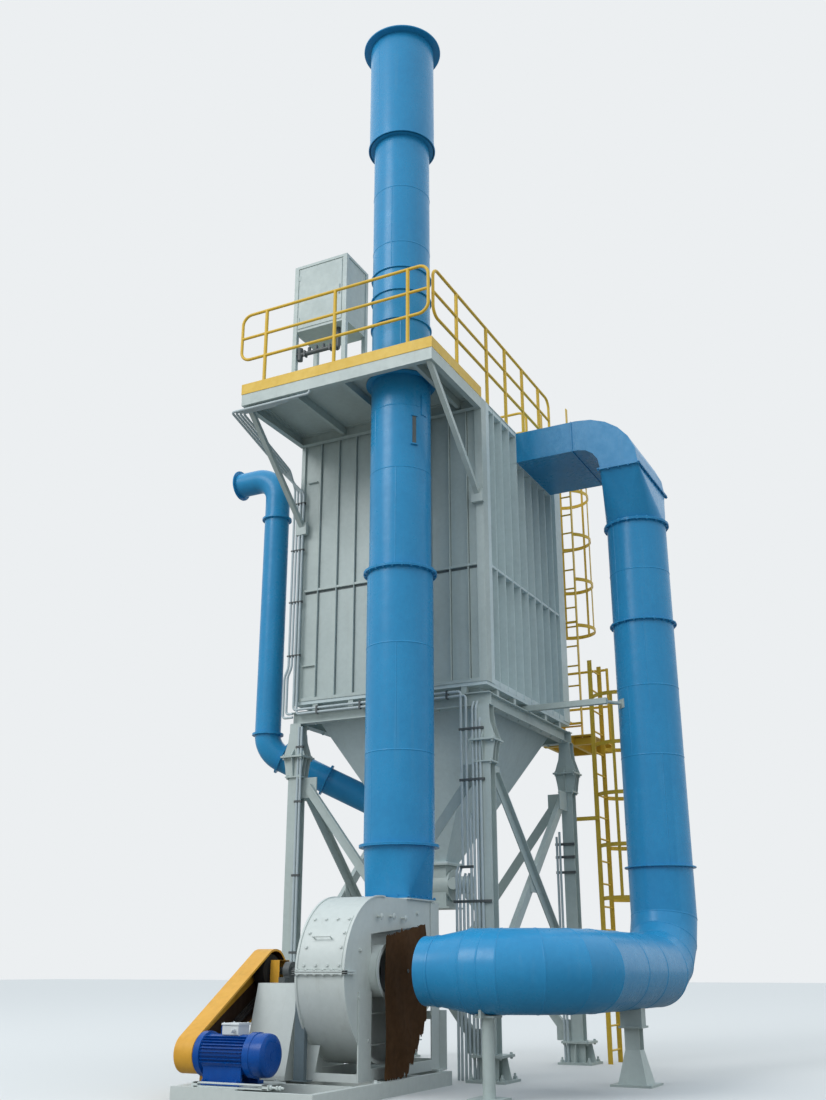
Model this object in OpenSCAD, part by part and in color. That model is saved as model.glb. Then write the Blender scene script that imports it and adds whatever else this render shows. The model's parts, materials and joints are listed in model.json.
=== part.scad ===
/* [Housing] */
// Width of the filter housing, left to right
housing_w = 2610; // [2300:10:2900]
// Depth of the filter housing, front to back
housing_d = 2790; // [2500:10:3100]
// Height of the housing's bottom edge above the ground
housing_z = 4180; // [4000:10:4400]
// Height of the housing, bottom edge to roof
housing_h = 3600; // [3200:10:4000]
// Thickness of a wall panel
wall_t = 40; // [20:5:80]
// Thickness of an upright rib on a wall
rib_t = 12; // [8:1:20]
// How far an upright rib stands out
rib_out = 100; // [60:5:120]
// Bays between the ribs on a front or rear wall
front_bays = 10; // [8:1:12]
// Bays between the ribs on a side wall
side_bays = 10; // [8:1:12]
// Height of the cross band above the housing's bottom edge
band_up = 1440; // [1200:10:1800]

/* [Steel frame] */
// Distance of a column's centre inside the housing's outer face
col_inset = 55; // [20:5:90]
// Side of a column section
col_s = 150; // [120:5:180]
// Flange and web thickness of a column
col_t = 12; // [8:1:16]
// Height of the base stool's top plate
stool_h = 260; // [200:10:320]
// Side of a base plate
base_s = 430; // [380:10:480]
// Distance of an anchor hole from its column's centre lines
anchor_off = 170; // [150:5:190]
// Diameter of an anchor hole
anchor_d = 28; // [22:1:36]
// Height of the ring beam's underside
ring_z = 3905; // [3800:5:4000]
// Height of the ring beam section
ring_h = 150; // [120:5:180]

/* [Hopper] */
// Height of the hopper's lower flange
hopper_z = 2300; // [2100:10:2500]
// Side of the hopper's lower opening
hopper_out = 360; // [300:10:450]

/* [Platform] */
// How far the roof platform reaches out in front
deck_out = 1400; // [1300:10:1500]
// How far the platform reaches past the left wall
deck_left = 10; // [0:10:60]
// Height of the channel along the platform's edge
edge_h = 150; // [120:5:180]
// Height of the toe board
toe_h = 140; // [100:5:150]
// Height of the handrail above the deck
rail_h = 1170; // [1100:5:1200]
// Outer diameter of a handrail tube
rail_d = 45; // [38:1:50]

/* [Ducts and stack] */
// Outer diameter of the main duct
duct_d = 740; // [700:5:780]
// Outer diameter of the stack
stack_d = 756; // [720:2:780]
// Outer diameter of the inlet duct
inlet_d = 330; // [300:5:360]
// Sheet thickness of ducts and stack
sheet_t = 10; // [6:1:12]
// Height of the stack's top
stack_top = 12900; // [12500:10:13200]
// Centre of the riser beside the housing, to the right
riser_x = 2670; // [2600:5:2750]
// Centre of the riser, front to back
riser_y = 375; // [300:5:450]

/* [Fan] */
// Height of the fan shaft
shaft_z = 1070; // [1000:5:1150]
// Place of the fan shaft in front of the frame's centre
shaft_y = -2970; // [-3000:5:-2900]
// Left side of the fan casing
fan_x = 310; // [280:5:340]
// Width of the fan casing
fan_w = 500; // [460:5:540]
// Height of the fan outlet
fan_top = 1750; // [1700:5:1800]

/* [Hidden] */
$fn = 48;
hw = housing_w / 2;
hd = housing_d / 2;
cx = hw - col_inset;
cy = hd - col_inset;
roof_z = housing_z + housing_h;
ring_top = ring_z + ring_h;
head_z = 3500;
neck_z = 3260;
hopper_rim = 40;
gusset = 240;
plate_t = 16;
side_brace_z = 850;
stack_x = fan_x + fan_w / 2;
out_y1 = shaft_y + 570;
out_y2 = shaft_y + 1130;
stack_y = (out_y1 + out_y2) / 2;
deck_y = -hd - deck_out;
deck_x = -hw - deck_left;
grey = "#a7b4b3";
pale = "#c3cbc9";
blue = "#2f7fb8";
yellow = "#e0b838";

// Plain box from its low corner to its high corner
module span(x0, x1, y0, y1, z0, z1) {
    translate([x0, y0, z0])
        cube([x1 - x0, y1 - y0, z1 - z0]);
}

// Upright H section, flanges front and back, standing on z = 0
module h_post(s, t, h) {
    translate([0, 0, h / 2]) {
        for (k = [-1, 1])
            translate([0, k * (s - t) / 2, 0])
                cube([s, t, h], center = true);
        cube([t * 0.7, s, h], center = true);
    }
}

// I beam along X from x = 0, its underside on z = 0
module i_beam(len, w, h, t) {
    translate([0, -w / 2, 0])
        cube([len, w, t]);
    translate([0, -w / 2, h - t])
        cube([len, w, t]);
    translate([0, -t / 2, 0])
        cube([len, t, h]);
}

// Channel along X from x = 0, its back on y = 0 and its lips toward +y
module channel(len, w, h, t) {
    cube([len, t, h]);
    cube([len, w, t]);
    translate([0, 0, h - t])
        cube([len, w, t]);
}

// Flat bar between two points
module bar(a, b, w, t) {
    d = b - a;
    len = norm(d);
    translate(a)
        rotate([0, acos(d[2] / len), atan2(d[1], d[0])])
            translate([-t / 2, -w / 2, 0])
                cube([t, w, len]);
}

// Round bar between two points
module rod(a, b, r) {
    d = b - a;
    len = norm(d);
    translate(a)
        rotate([0, acos(d[2] / len), atan2(d[1], d[0])])
            cylinder(r = r, h = len, $fn = 20);
}

// Straight tube standing on z = 0
module tube(d, t, h) {
    difference() {
        cylinder(d = d, h = h);
        translate([0, 0, -1])
            cylinder(d = d - 2 * t, h = h + 2);
    }
}

// Flat flange ring standing on z = 0
module ring(d_in, d_out, h) {
    difference() {
        cylinder(d = d_out, h = h);
        translate([0, 0, -1])
            cylinder(d = d_in, h = h + 2);
    }
}

// Round bend in the XY plane about the origin, from +X toward +Y
module bend(bend_r, d, t, ang) {
    rotate_extrude(angle = ang)
        translate([bend_r, 0])
            difference() {
                circle(d = d);
                circle(d = d - 2 * t);
            }
}

// One leg of the frame: base stool, column and flared head
module column(sx, sy) {
    stub = 300;
    head = head_z;
    translate([sx * cx, sy * cy, 0]) {
        difference() {
            translate([0, 0, 12.5])
                cube([base_s, base_s, 25], center = true);
            for (x = [-1, 1], y = [-1, 1])
                translate([x * anchor_off, y * anchor_off, -1])
                    cylinder(d = anchor_d, h = 30);
        }
        translate([0, 0, 25])
            h_post(col_s + 60, col_t, stool_h - 50);
        for (k = [-1, 1]) {
            for (q = [0, 90])
                rotate([0, 0, q])
                    translate([k * (col_s / 2 + 20), 0, 25])
                        stool_gusset(k);
        }
        translate([0, 0, stool_h - 12.5])
            cube([350, 350, 25], center = true);
        translate([0, 0, stool_h])
            h_post(col_s, col_t, ring_z - stool_h);
        translate([0, 0, head])
            cube([stub, stub, 20], center = true);
        translate([0, 0, neck_z])
            cube([stub * 0.7, stub * 0.7, 16], center = true);
        for (q = [0 : 90 : 270])
            rotate([0, 0, q]) {
                head_gusset(head + 10, 190, stub / 2, col_s / 2);
                mirror([0, 0, 1])
                    head_gusset(-head + 10, 220, stub / 2 - 10, stub * 0.35);
            }
    }
}

// Triangular stiffener on a base stool
module stool_gusset(k) {
    translate([0, 5, 0])
        rotate([90, 0, 0])
            linear_extrude(height = 10)
                polygon([[0, 0], [k * 110, 0], [k * 65, stool_h - 50], [0, stool_h - 50]]);
}

// Flared stiffener that widens toward a plate at height z
module head_gusset(z, h, wide, narrow) {
    translate([0, 5, z])
        rotate([90, 0, 0])
            linear_extrude(height = 10)
                polygon([[20, 0], [wide, 0], [narrow + 12, h * 0.45], [narrow, h], [20, h]]);
}

module columns() {
    color(grey)
        for (sx = [-1, 1], sy = [-1, 1])
            column(sx, sy);
}

// Ring of I beams on the column heads, with the housing's slide feet
module ring_beams() {
    over = col_s / 2;
    color(grey) {
        for (k = [-1, 1])
            translate([-cx - over, k * cy, ring_z])
                i_beam(2 * (cx + over), 120, ring_h, 10);
        for (k = [-1, 1])
            translate([k * cx, -cy + 60, ring_z])
                rotate([0, 0, 90])
                    i_beam(2 * cy - 120, 120, ring_h, 10);
        for (k = [-1, 1], i = [-2 : 2]) {
            translate([i * 500, k * cy, ring_top])
                slide_foot();
            translate([k * cx, i * 520, ring_top])
                slide_foot();
        }
    }
}

// Small foot between the ring beam and the housing
module slide_foot() {
    h = housing_z - hopper_rim - ring_top;
    translate([0, 0, h / 2])
        cube([70, 70, h], center = true);
}

// Angle brace between two points, its outstanding leg on the upper edge
module brace(a, b) {
    d = b - a;
    len = norm(d);
    translate(a)
        rotate([0, acos(d[2] / len), atan2(d[1], d[0])]) {
            translate([-60, -6, 0])
                cube([120, 12, len]);
            translate([-60, -6, 0])
                cube([12, 60, len]);
        }
}

// Crossed braces with their gussets in one bay, drawn along X at y = 0
module brace_bay(half, reach, low) {
    z0 = low + gusset / 2;
    z1 = neck_z - 10 - gusset / 2;
    e = half - col_s / 2 - 100;
    off = (plate_t + 11) / 2;
    for (k = [-1, 1])
        brace([-k * e, k * off, z0], [k * e, k * off, z1]);
    translate([0, 0, (z0 + z1) / 2])
        cube([gusset, plate_t, gusset], center = true);
    for (k = [-1, 1], z = [z0, z1])
        translate([k * (reach - 140), 0, z])
            cube([280, plate_t, gusset], center = true);
}

module bracing_front() {
    color(grey)
        translate([0, -cy, 0])
            brace_bay(cx, cx - col_t * 0.35, stool_h);
}

module bracing_rear() {
    color(grey)
        translate([0, cy, 0])
            brace_bay(cx, cx - col_t * 0.35, stool_h);
}

module bracing_right() {
    color(grey)
        translate([cx, 0, 0])
            rotate([0, 0, 90])
                brace_bay(cy, cy - col_s / 2, side_brace_z);
}

module bracing_left() {
    color(grey)
        translate([-cx, 0, 0])
            rotate([0, 0, 90])
                brace_bay(cy, cy - col_s / 2, side_brace_z);
}

// Flat panel with upright ribs and one cross band, drawn along X, outside toward -y
module ribbed_panel(w, bays) {
    step = w / bays;
    translate([-w / 2, 0, 0])
        cube([w, wall_t, housing_h]);
    for (i = [1 : bays - 1])
        translate([-w / 2 + i * step - rib_t / 2, -rib_out, 0])
            cube([rib_t, rib_out + 1, housing_h]);
    for (z = [0, band_up, housing_h - 60])
        translate([-w / 2, -rib_out + 8, z])
            cube([w, rib_out - 7, z == band_up ? 30 : 60]);
    for (k = [0, 1])
        translate([k == 0 ? -w / 2 : w / 2 - 90, -rib_out, 0])
            cube([90, rib_out + 1, housing_h]);
}

module housing_front_wall() {
    color(grey)
        translate([0, -hd + rib_out, housing_z])
            ribbed_panel(housing_w, front_bays);
}

module housing_rear_wall() {
    color(grey)
        translate([0, hd - rib_out, housing_z])
            rotate([0, 0, 180])
                ribbed_panel(housing_w, front_bays);
}

module housing_right_wall() {
    color(grey)
    difference() {
        union() {
            translate([hw - rib_out, 0, housing_z])
                rotate([0, 0, 90])
                    ribbed_panel(housing_d - 2 * (rib_out + wall_t), side_bays);
            span(hw - rib_out - 1, hw, duct_y0 - 12, duct_y1 + 12, duct_z0 - 12, duct_z1 - 1);
        }
        span(hw - 300, hw + 10, duct_y0 + sheet_t, duct_y1 - sheet_t, duct_z0 + sheet_t, duct_z1 - sheet_t);
    }
}

module housing_left_wall() {
    color(grey)
        translate([-hw + rib_out, 0, housing_z])
            rotate([0, 0, -90])
                ribbed_panel(housing_d - 2 * (rib_out + wall_t), side_bays);
}

module housing_roof() {
    color(grey)
        span(-hw, hw, -hd, hd, roof_z, roof_z + 10);
}

// Pyramid hopper with a straight skirt and a lower flange
module hopper_form(grow) {
    a = cx - 90 - grow;
    b = cy - 90 - grow;
    o = hopper_out / 2 - grow;
    hull() {
        translate([0, 0, housing_z - hopper_rim])
            cube([2 * a, 2 * b, 1], center = true);
        translate([0, 0, hopper_z])
            cube([2 * o, 2 * o, 1], center = true);
    }
}

module hopper() {
    color(grey) {
        difference() {
            union() {
                hopper_form(0);
                span(-hw + 10, hw - 10, -hd + 10, hd - 10, housing_z - hopper_rim, housing_z);
            }
            span(-cx + 110, cx - 110, -cy + 110, cy - 110, housing_z - 45, housing_z + 10);
            on_branch()
                cylinder(d = inlet_d + 0.6, h = 1900);
            hull() {
                translate([0, 0, housing_z - 39])
                    cube([2 * (cx - 110), 2 * (cy - 110), 2], center = true);
                translate([0, 0, hopper_z - 2])
                    cube([hopper_out - 20, hopper_out - 20, 2], center = true);
            }
        }
        difference() {
            translate([0, 0, hopper_z])
                cube([hopper_out + 100, hopper_out + 100, 20], center = true);
            cube([hopper_out - 20, hopper_out - 20, 3 * hopper_z], center = true);
        }
    }
}

// Rotary valve with its gear motor under the hopper
module hopper_discharge() {
    z = hopper_z - 10;
    color(grey) {
        translate([0, 0, z - 10])
            cube([hopper_out + 100, hopper_out + 100, 20], center = true);
        translate([0, 0, z - 250])
            rotate([0, 90, 0])
                cylinder(d = 380, h = 420, center = true);
        translate([0, 0, z - 130])
            cube([360, 340, 240], center = true);
        translate([0, 0, z - 390])
            cube([360, 340, 240], center = true);
        translate([0, 0, z - 510])
            cube([hopper_out + 100, hopper_out + 60, 20], center = true);
        translate([200, 0, z - 250])
            rotate([0, 90, 0])
                cylinder(d = 120, h = 180);
        translate([370, 0, z - 250])
            cube([180, 180, 200], center = true);
        translate([370, 0, z - 250])
            rotate([90, 0, 0])
                cylinder(d = 140, h = 380);
    }
}

loop_r = 130;
cab_side = 40;
cab_front = 400;
cab_w = 825;
cab_d = 590;
cab_h = 2410;
cab_low = 1385;

// Framed cabinet across the roof's front edge, panels above and an open bay below
module roof_cabinet() {
    x0 = -hw + cab_side;
    x1 = x0 + cab_w;
    y0 = -hd - cab_front;
    y1 = y0 + cab_d;
    z0 = roof_z + 10;
    color(grey) {
        for (x = [x0, x1 - 60], y = [y0, y1 - 60])
            span(x, x + 60, y, y + 60, z0, z0 + cab_h);
        span(x0, x1, y0, y1, z0 + cab_h - 40, z0 + cab_h);
        span(x0 + 10, x1 - 10, y0 + 10, y1 - 10, z0 + cab_low, z0 + cab_h - 39);
        for (z = [z0, z0 + cab_low / 2])
            difference() {
                span(x0, x1, y0, y1, z, z + 50);
                span(x0 + 60, x1 - 60, y0 + 60, y1 - 60, z - 1, z + 51);
            }
    }
}

// Deck plate in front of the roof, holed for the stack
module platform_deck() {
    color(grey)
    difference() {
        span(deck_x + 10, hw - 10, deck_y + 10, -hd, roof_z, roof_z + 10);
        translate([stack_x, stack_y, roof_z])
            cylinder(d = stack_d + 60, h = 100, center = true);
    }
}

knee = 1260;

// Channels round and under the deck, and the two knee braces
module platform_frame() {
    z = roof_z - edge_h;
    len = hw - deck_x;
    color(grey) {
        translate([deck_x, deck_y, z])
            channel(len, 70, edge_h, 10);
        translate([hw, -hd - 1, z])
            mirror([0, 1, 0])
                mirror([1, 0, 0])
                    channel(len, 70, edge_h, 10);
        translate([hw, deck_y, z])
            rotate([0, 0, 90])
                channel(deck_out - 1, 70, edge_h, 10);
        translate([deck_x, -hd - 1, z])
            rotate([0, 0, -90])
                channel(deck_out - 1, 70, edge_h, 10);
        for (x = [deck_x + 700, stack_x - 480, stack_x + 480])
            translate([x, deck_y + 20, z + 40])
                rotate([0, 0, 90])
                    channel(deck_out - 40, 50, edge_h - 45, 8);
        for (x = [-hw + 60, hw - 60]) {
            bar([x, deck_y + 60, z + 20], [x, -hd - 25, z - knee + 110], 60, 60);
            span(x - 75, x + 75, -hd - 60, -hd, z - knee, z - knee + 160);
        }
    }
}

module toe_board() {
    color(yellow) {
        span(deck_x, hw, deck_y - 6, deck_y, roof_z + 2, roof_z + toe_h);
        span(hw, hw + 6, deck_y - 6, -hd, roof_z + 2, roof_z + toe_h);
        span(deck_x - 6, deck_x, deck_y - 6, -hd, roof_z + 2, roof_z + toe_h);
    }
}

// Posts at the places in a list along X, with three rails from a to b closed in a loop at each end
module rail_run(a, b, posts) {
    d = rail_d * 0.85;
    r = loop_r;
    top = roof_z + rail_h - rail_d / 2;
    low = roof_z + rail_h * 0.43;
    for (x = posts)
        translate([x, 0, roof_z + 10])
            cylinder(d = rail_d, h = rail_h - 10 - rail_d / 2, $fn = 24);
    for (z = [low, top])
        translate([a + r, 0, z])
            rotate([0, 90, 0])
                cylinder(d = d, h = b - a - 2 * r, $fn = 24);
    translate([a, 0, roof_z + rail_h * 0.7])
        rotate([0, 90, 0])
            cylinder(d = d - 2, h = b - a, $fn = 24);
    for (x = [a, b])
        translate([x, 0, low + r])
            cylinder(d = d, h = top - low - 2 * r, $fn = 24);
    for (c = [0 : 3])
        translate([c == 0 || c == 3 ? b - r : a + r, 0, c < 2 ? top - r : low + r])
            rotate([90, 0, 0])
                rotate([0, 0, 90 * c])
                    rotate_extrude(angle = 90)
                        translate([r, 0])
                            circle(d = d, $fn = 24);
}

module handrails() {
    left_y = -hd - cab_front + cab_d + 80;
    color(yellow) {
        translate([0, deck_y + 35, 0])
            rail_run(deck_x - 65, hw - 55, [for (i = [0 : 2]) deck_x + 295 + 1000 * i]);
        translate([hw - 35, 0, 0])
            rotate([0, 0, 90])
                rail_run(deck_y + 120, hd - 215, concat([deck_y + 770], [for (i = [0 : 3]) deck_y + 1685 + 620 * i]));
        translate([0, hd - 35, 0])
            rail_run(-hw + 110, ladder_x - 350, [for (i = [0 : 2]) -hw + 350 + 700 * i]);
        translate([-hw + 35, 0, 0])
            rotate([0, 0, 90])
                rail_run(left_y, hd - 110, [for (i = [0 : 3]) left_y + 150 + 680 * i]);
    }
}

ladder_w = 400;
ladder_x = hw - 105;
ladder_y = hd + 205;
low_ladder_x = hw + 295;
low_ladder_y = hd + 245;
cage_r = 350;
cage_off = 315;
rest_z = ring_top - 25;
frame_z = rest_z - 110;
cage_low = 1900;
cage_up = 1550;

// Ladder with rungs along X and a hooped cage on the +y side
module ladder(z0, z1, cage0, pitch) {
    w = ladder_w;
    hoops = floor((z1 - 50 - cage0) / pitch);
    for (k = [-1, 1])
        span(k * w / 2 - 6, k * w / 2 + 6, -30, 30, z0, z1);
    for (z = [z0 + 150 : 280 : z1 - 60])
        translate([-w / 2, 0, z])
            rotate([0, 90, 0])
                cylinder(d = 24, h = w, $fn = 16);
    for (i = [0 : hoops])
        translate([0, cage_off, cage0 + i * pitch])
            difference() {
                cylinder(r = cage_r, h = 50);
                translate([0, 0, -1])
                    cylinder(r = cage_r - 6, h = 52);
                span(6 - w / 2, w / 2 - 6, -cage_r - 50, -200, -2, 60);
            }
    for (a = [0 : 60 : 180])
        rotate_about(cage_off, a)
            span(cage_r - 12, cage_r - 5, -20, 20, cage0, cage0 + hoops * pitch + 50);
}

// Turns a piece by a degrees about the upright line at y = off
module rotate_about(off, a) {
    translate([0, off, 0])
        rotate([0, 0, a])
            children();
}

module ladder_lower() {
    color(yellow) {
        translate([low_ladder_x, low_ladder_y, 0])
            rotate([0, 0, -90])
                ladder(0, rest_z + rest_rail - 100, cage_low, 650);
        for (z = [1400, 2900])
            span(cx - 40, low_ladder_x + 30, cy + col_s / 2, low_ladder_y - ladder_w / 2 - 6, z, z + 50);
    }
}

module ladder_upper() {
    color(yellow) {
        translate([ladder_x, ladder_y, 0])
            ladder(rest_z, roof_z + rail_h, rest_z + cage_up, 680);
        for (z = [housing_z + 15, housing_z + band_up, roof_z - 45]) {
            span(ladder_x - 220, ladder_x + 220, ladder_y - 50, ladder_y - 30, z, z + 30);
            for (x = [ladder_x - 200, hw - 40])
                span(x, x + 20, x > ladder_x ? hd : hd - 8, ladder_y - 49, z, z + 30);
        }
    }
}

rest_side = 350;
rest_d = 950;
rest_rail = 1100;

// Small landing between the two ladders with its own rails
module rest_platform() {
    x0 = ladder_x - rest_side;
    x1 = low_ladder_x - 30;
    y0 = hd + 50;
    y1 = y0 + rest_d;
    r = 20;
    color(yellow) {
        difference() {
            span(x0, x1, y0, y1, rest_z - 10, rest_z);
            for (k = [-1, 1])
                span(ladder_x + k * ladder_w / 2 - 10, ladder_x + k * ladder_w / 2 + 10,
                    ladder_y - 34, ladder_y + 34, rest_z - 20, rest_z + 1);
        }
        for (x = [x0 + 30, hw - 60])
            span(x, x + 50, cy + 5, y1, frame_z, rest_z - 9);
        span(x0, x1, y1 - 60, y1, frame_z, rest_z - 9);
        span(x0, x1, ladder_y - 40, ladder_y + 40, frame_z, rest_z - 19);
        for (x = [x0 + r, x1 - r])
            translate([x, y1 - r, rest_z - 1])
                cylinder(r = r, h = rest_rail, $fn = 24);
        translate([x0 + r, y0 + 200, rest_z - 1])
            cylinder(r = r, h = rest_rail, $fn = 24);
        for (z = [rest_rail / 2, rest_rail - 20]) {
            translate([x0 + r, y1 - r, rest_z + z])
                rotate([0, 90, 0])
                    cylinder(r = r - 2, h = x1 - x0 - 2 * r, $fn = 24);
            translate([x0 + r, y0 + 200, rest_z + z])
                rotate([-90, 0, 0])
                    cylinder(r = r - 2, h = y1 - y0 - 200 - r, $fn = 24);
        }
    }
}

duct_y0 = riser_y - 625;
duct_y1 = riser_y + 625;
duct_h = 415;
duct_z1 = roof_z - 10;
duct_z0 = duct_z1 - duct_h;
duct_w = 490;
elbow_x0 = riser_x - duct_w / 2;
elbow_x1 = riser_x + duct_w / 2;
throat_r = 285;
heel_r = throat_r + duct_h;
elbow_z = duct_z0 - throat_r - 40;

// Side outline of the rectangular outlet duct with its rounded elbow
module outlet_side(g) {
    mid = elbow_x0 - throat_r;
    inner = [for (a = [0 : 22.5 : 90]) [mid + (throat_r + g) * sin(a), duct_z0 - throat_r + (throat_r + g) * cos(a)]];
    low = duct_z0 - throat_r;
    outer = [for (a = [90 : -15 : 0]) [mid + (duct_w + throat_r - g) * sin(a), low + (heel_r - g) * cos(a)]];
    polygon(concat([[hw, duct_z0 + g]], inner, [[elbow_x0 + g, elbow_z], [elbow_x1 - g, elbow_z]],
        outer, [[hw, duct_z1 - g]]));
}

module outlet_duct() {
    t = sheet_t;
    color(blue) {
        difference() {
            translate([0, duct_y1, 0])
                rotate([90, 0, 0])
                    linear_extrude(height = duct_y1 - duct_y0)
                        outlet_side(0);
            translate([0, duct_y1 - t, 0])
                rotate([90, 0, 0])
                    linear_extrude(height = duct_y1 - duct_y0 - 2 * t)
                        outlet_side(t);
            span(hw - 5, hw + 5, duct_y0 + t, duct_y1 - t, duct_z0 + t, duct_z1 - t);
            span(elbow_x0 + t, elbow_x1 - t, duct_y0 + t, duct_y1 - t, elbow_z - 5, elbow_z + 5);
        }
        difference() {
            span(elbow_x0 - 30, elbow_x1 + 30, duct_y0 - 30, duct_y1 + 30, elbow_z, elbow_z + 12);
            span(elbow_x0 + t, elbow_x1 - t, duct_y0 + t, duct_y1 - t, elbow_z - 5, elbow_z + 20);
        }
    }
}

riser_top = elbow_z - 630;
duct_bend = 700;
riser_low = shaft_z + duct_bend + 410;
riser_mid = 5085;

// Rectangle to round piece between the outlet duct and the riser
module outlet_transition() {
    t = sheet_t;
    color(blue) {
        difference() {
            to_round(elbow_x1 - elbow_x0, duct_y1 - duct_y0, duct_d, riser_top, elbow_z - 1);
            to_round(elbow_x1 - elbow_x0 - 2 * t, duct_y1 - duct_y0 - 2 * t, duct_d - 2 * t, riser_top - 0.5, elbow_z - 0.5);
        }
        translate([riser_x, riser_y, riser_top])
            ring(duct_d - sheet_t, duct_d + 80, 15);
    }
}

module to_round(w, d, dia, z0, z1) {
    hull() {
        translate([riser_x, riser_y, z0])
            cylinder(d = dia, h = 1, $fn = 48);
        translate([riser_x, riser_y, z1])
            cube([w, d, 2], center = true);
    }
}

module main_riser() {
    color(blue)
    translate([riser_x, riser_y, 0]) {
        translate([0, 0, shaft_z + duct_bend])
            tube(duct_d, sheet_t, riser_top - shaft_z - duct_bend);
        for (z = [riser_top - 15, riser_mid, riser_low])
            translate([0, 0, z])
                ring(duct_d - sheet_t, duct_d + 80, 15);
        translate([0, -duct_bend, shaft_z + duct_bend])
            rotate([-90, 0, 0])
                rotate([0, -90, 0])
                    bend(duct_bend, duct_d, sheet_t, 90);
    }
}

// Tube from the ring beam that steadies the riser through a clamp band
module riser_stay() {
    y = -130;
    z = ring_top;
    x1 = riser_x - duct_d / 2;
    color(pale) {
        span(cx - 60, x1, y - 35, y + 35, z, z + 70);
        rod([x1 - 40, y, z + 35], [riser_x - duct_d * 0.354, riser_y - duct_d * 0.363, z + 35], 20);
        translate([riser_x, riser_y, z])
            ring(duct_d, duct_d + 16, 70);
    }
}

side_bend = 750;

// Level run from the riser, round the mitred bend toward the fan
module suction_duct() {
    y0 = shaft_y + side_bend;
    y1 = riser_y - duct_bend;
    x1 = riser_x - side_bend;
    color(blue)
    translate([0, 0, shaft_z]) {
        translate([riser_x, y1, 0])
            rotate([90, 0, 0])
                tube(duct_d, sheet_t, y1 - y0);
        translate([riser_x - side_bend, y0, 0])
            mirror([0, 1, 0])
                bend(side_bend, duct_d, sheet_t, 90);
        translate([reducer_x, shaft_y, 0])
            rotate([0, 90, 0])
                tube(duct_d, sheet_t, x1 - reducer_x);
    }
}

reducer_x = 1780;
reducer_end = 1300;

module suction_reducer() {
    d1 = 616;
    t = sheet_t;
    color(blue)
    translate([reducer_end, shaft_y, shaft_z])
        rotate([0, 90, 0]) {
            difference() {
                union() {
                    cylinder(d = d1, h = 130);
                    translate([0, 0, 130])
                        cylinder(d1 = d1, d2 = duct_d, h = reducer_x - reducer_end - 130);
                    translate([0, 0, 120])
                        cylinder(d = d1 + 16, h = 24);
                }
                translate([0, 0, -1])
                    cylinder(d = d1 - 2 * t, h = 132);
                translate([0, 0, 130])
                    cylinder(d1 = d1 - 2 * t, d2 = duct_d - 2 * t, h = reducer_x - reducer_end - 129);
            }
        }
}

// Grey post with a foot and a saddle plate under the duct
module duct_post_front() {
    x = 1910;
    y = shaft_y;
    top = shaft_z - duct_d / 2;
    color(grey)
    translate([x, y, 0]) {
        translate([0, 0, 10])
            cube([300, 300, 20], center = true);
        cylinder(d = 114, h = top - 15);
        translate([0, 0, top - 15])
            cube([200, 200, 20], center = true);
        difference() {
            translate([0, 0, top + 30])
                cube([24, 360, 110], center = true);
            translate([0, 0, shaft_z])
                rotate([0, 90, 0])
                    cylinder(d = duct_d + 0.6, h = 60, center = true);
        }
    }
}

module duct_post_rear() {
    x = riser_x;
    y = -1060;
    top = shaft_z - duct_d / 2;
    seat = 540;
    color(grey)
    translate([x, y, 0]) {
        translate([0, 0, 10])
            cube([420, 420, 20], center = true);
        h_post(col_s, col_t, seat);
        difference() {
            linear_extrude(height = 330, scale = 0.5)
                square([300, 300], center = true);
            linear_extrude(height = 330, scale = 0.5)
                square([276, 276], center = true);
        }
        translate([0, 0, seat])
            cube([240, 240, 20], center = true);
        difference() {
            translate([0, 0, (seat + shaft_z) / 2])
                cube([220, 150, shaft_z - seat], center = true);
            translate([0, 0, shaft_z])
                rotate([90, 0, 0])
                    cylinder(d = duct_d + 0.6, h = 300, center = true);
        }
    }
}

inlet_x = -1930;
inlet_y = -1000;
inlet_bend = 330;
inlet_top = roof_z - 630;
branch_z = housing_z - 280;

// Upper elbow that the plant's inlet duct bolts to, turning left
module inlet_elbow() {
    color(blue)
    translate([inlet_x, inlet_y, inlet_top]) {
        translate([-inlet_bend, 0, 0])
            rotate([90, 0, 0])
                bend(inlet_bend, inlet_d, sheet_t, 90);
        translate([-inlet_bend - 300, 0, inlet_bend])
            rotate([0, 90, 0])
                tube(inlet_d, sheet_t, 300);
        translate([-inlet_bend - 300, 0, inlet_bend])
            rotate([0, 90, 0])
                inlet_flange();
        translate([0, 0, -300])
            tube(inlet_d, sheet_t, 300);
        translate([0, 0, -300])
            ring(inlet_d - sheet_t, inlet_d + 70, 12);
    }
}

// Drilled flange for the next length of inlet duct
module inlet_flange() {
    difference() {
        ring(inlet_d - 2 * sheet_t, inlet_d + 90, 12);
        for (i = [0 : 7])
            rotate([0, 0, 45 * i + 22.5])
                translate([inlet_d / 2 + 25, 0, -1])
                    cylinder(d = 14, h = 14);
    }
}

module inlet_riser() {
    z0 = branch_z;
    z1 = inlet_top - 300;
    color(blue)
    translate([inlet_x, inlet_y, z0]) {
        tube(inlet_d, sheet_t, z1 - z0);
        translate([0, 0, z1 - z0 - 12])
            ring(inlet_d - sheet_t, inlet_d + 70, 12);
        ring(inlet_d - sheet_t, inlet_d + 70, 12);
    }
}

branch_turn = 65;
branch_aim = 30;

// Places a straight piece along the sloping branch, from the end of its bend
module on_branch() {
    translate([inlet_x, inlet_y, branch_z])
        rotate([0, 0, branch_aim])
            translate([inlet_bend * (1 - cos(branch_turn)), 0, -inlet_bend * sin(branch_turn)])
                rotate([0, 180 - branch_turn, 0])
                    children();
}

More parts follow.
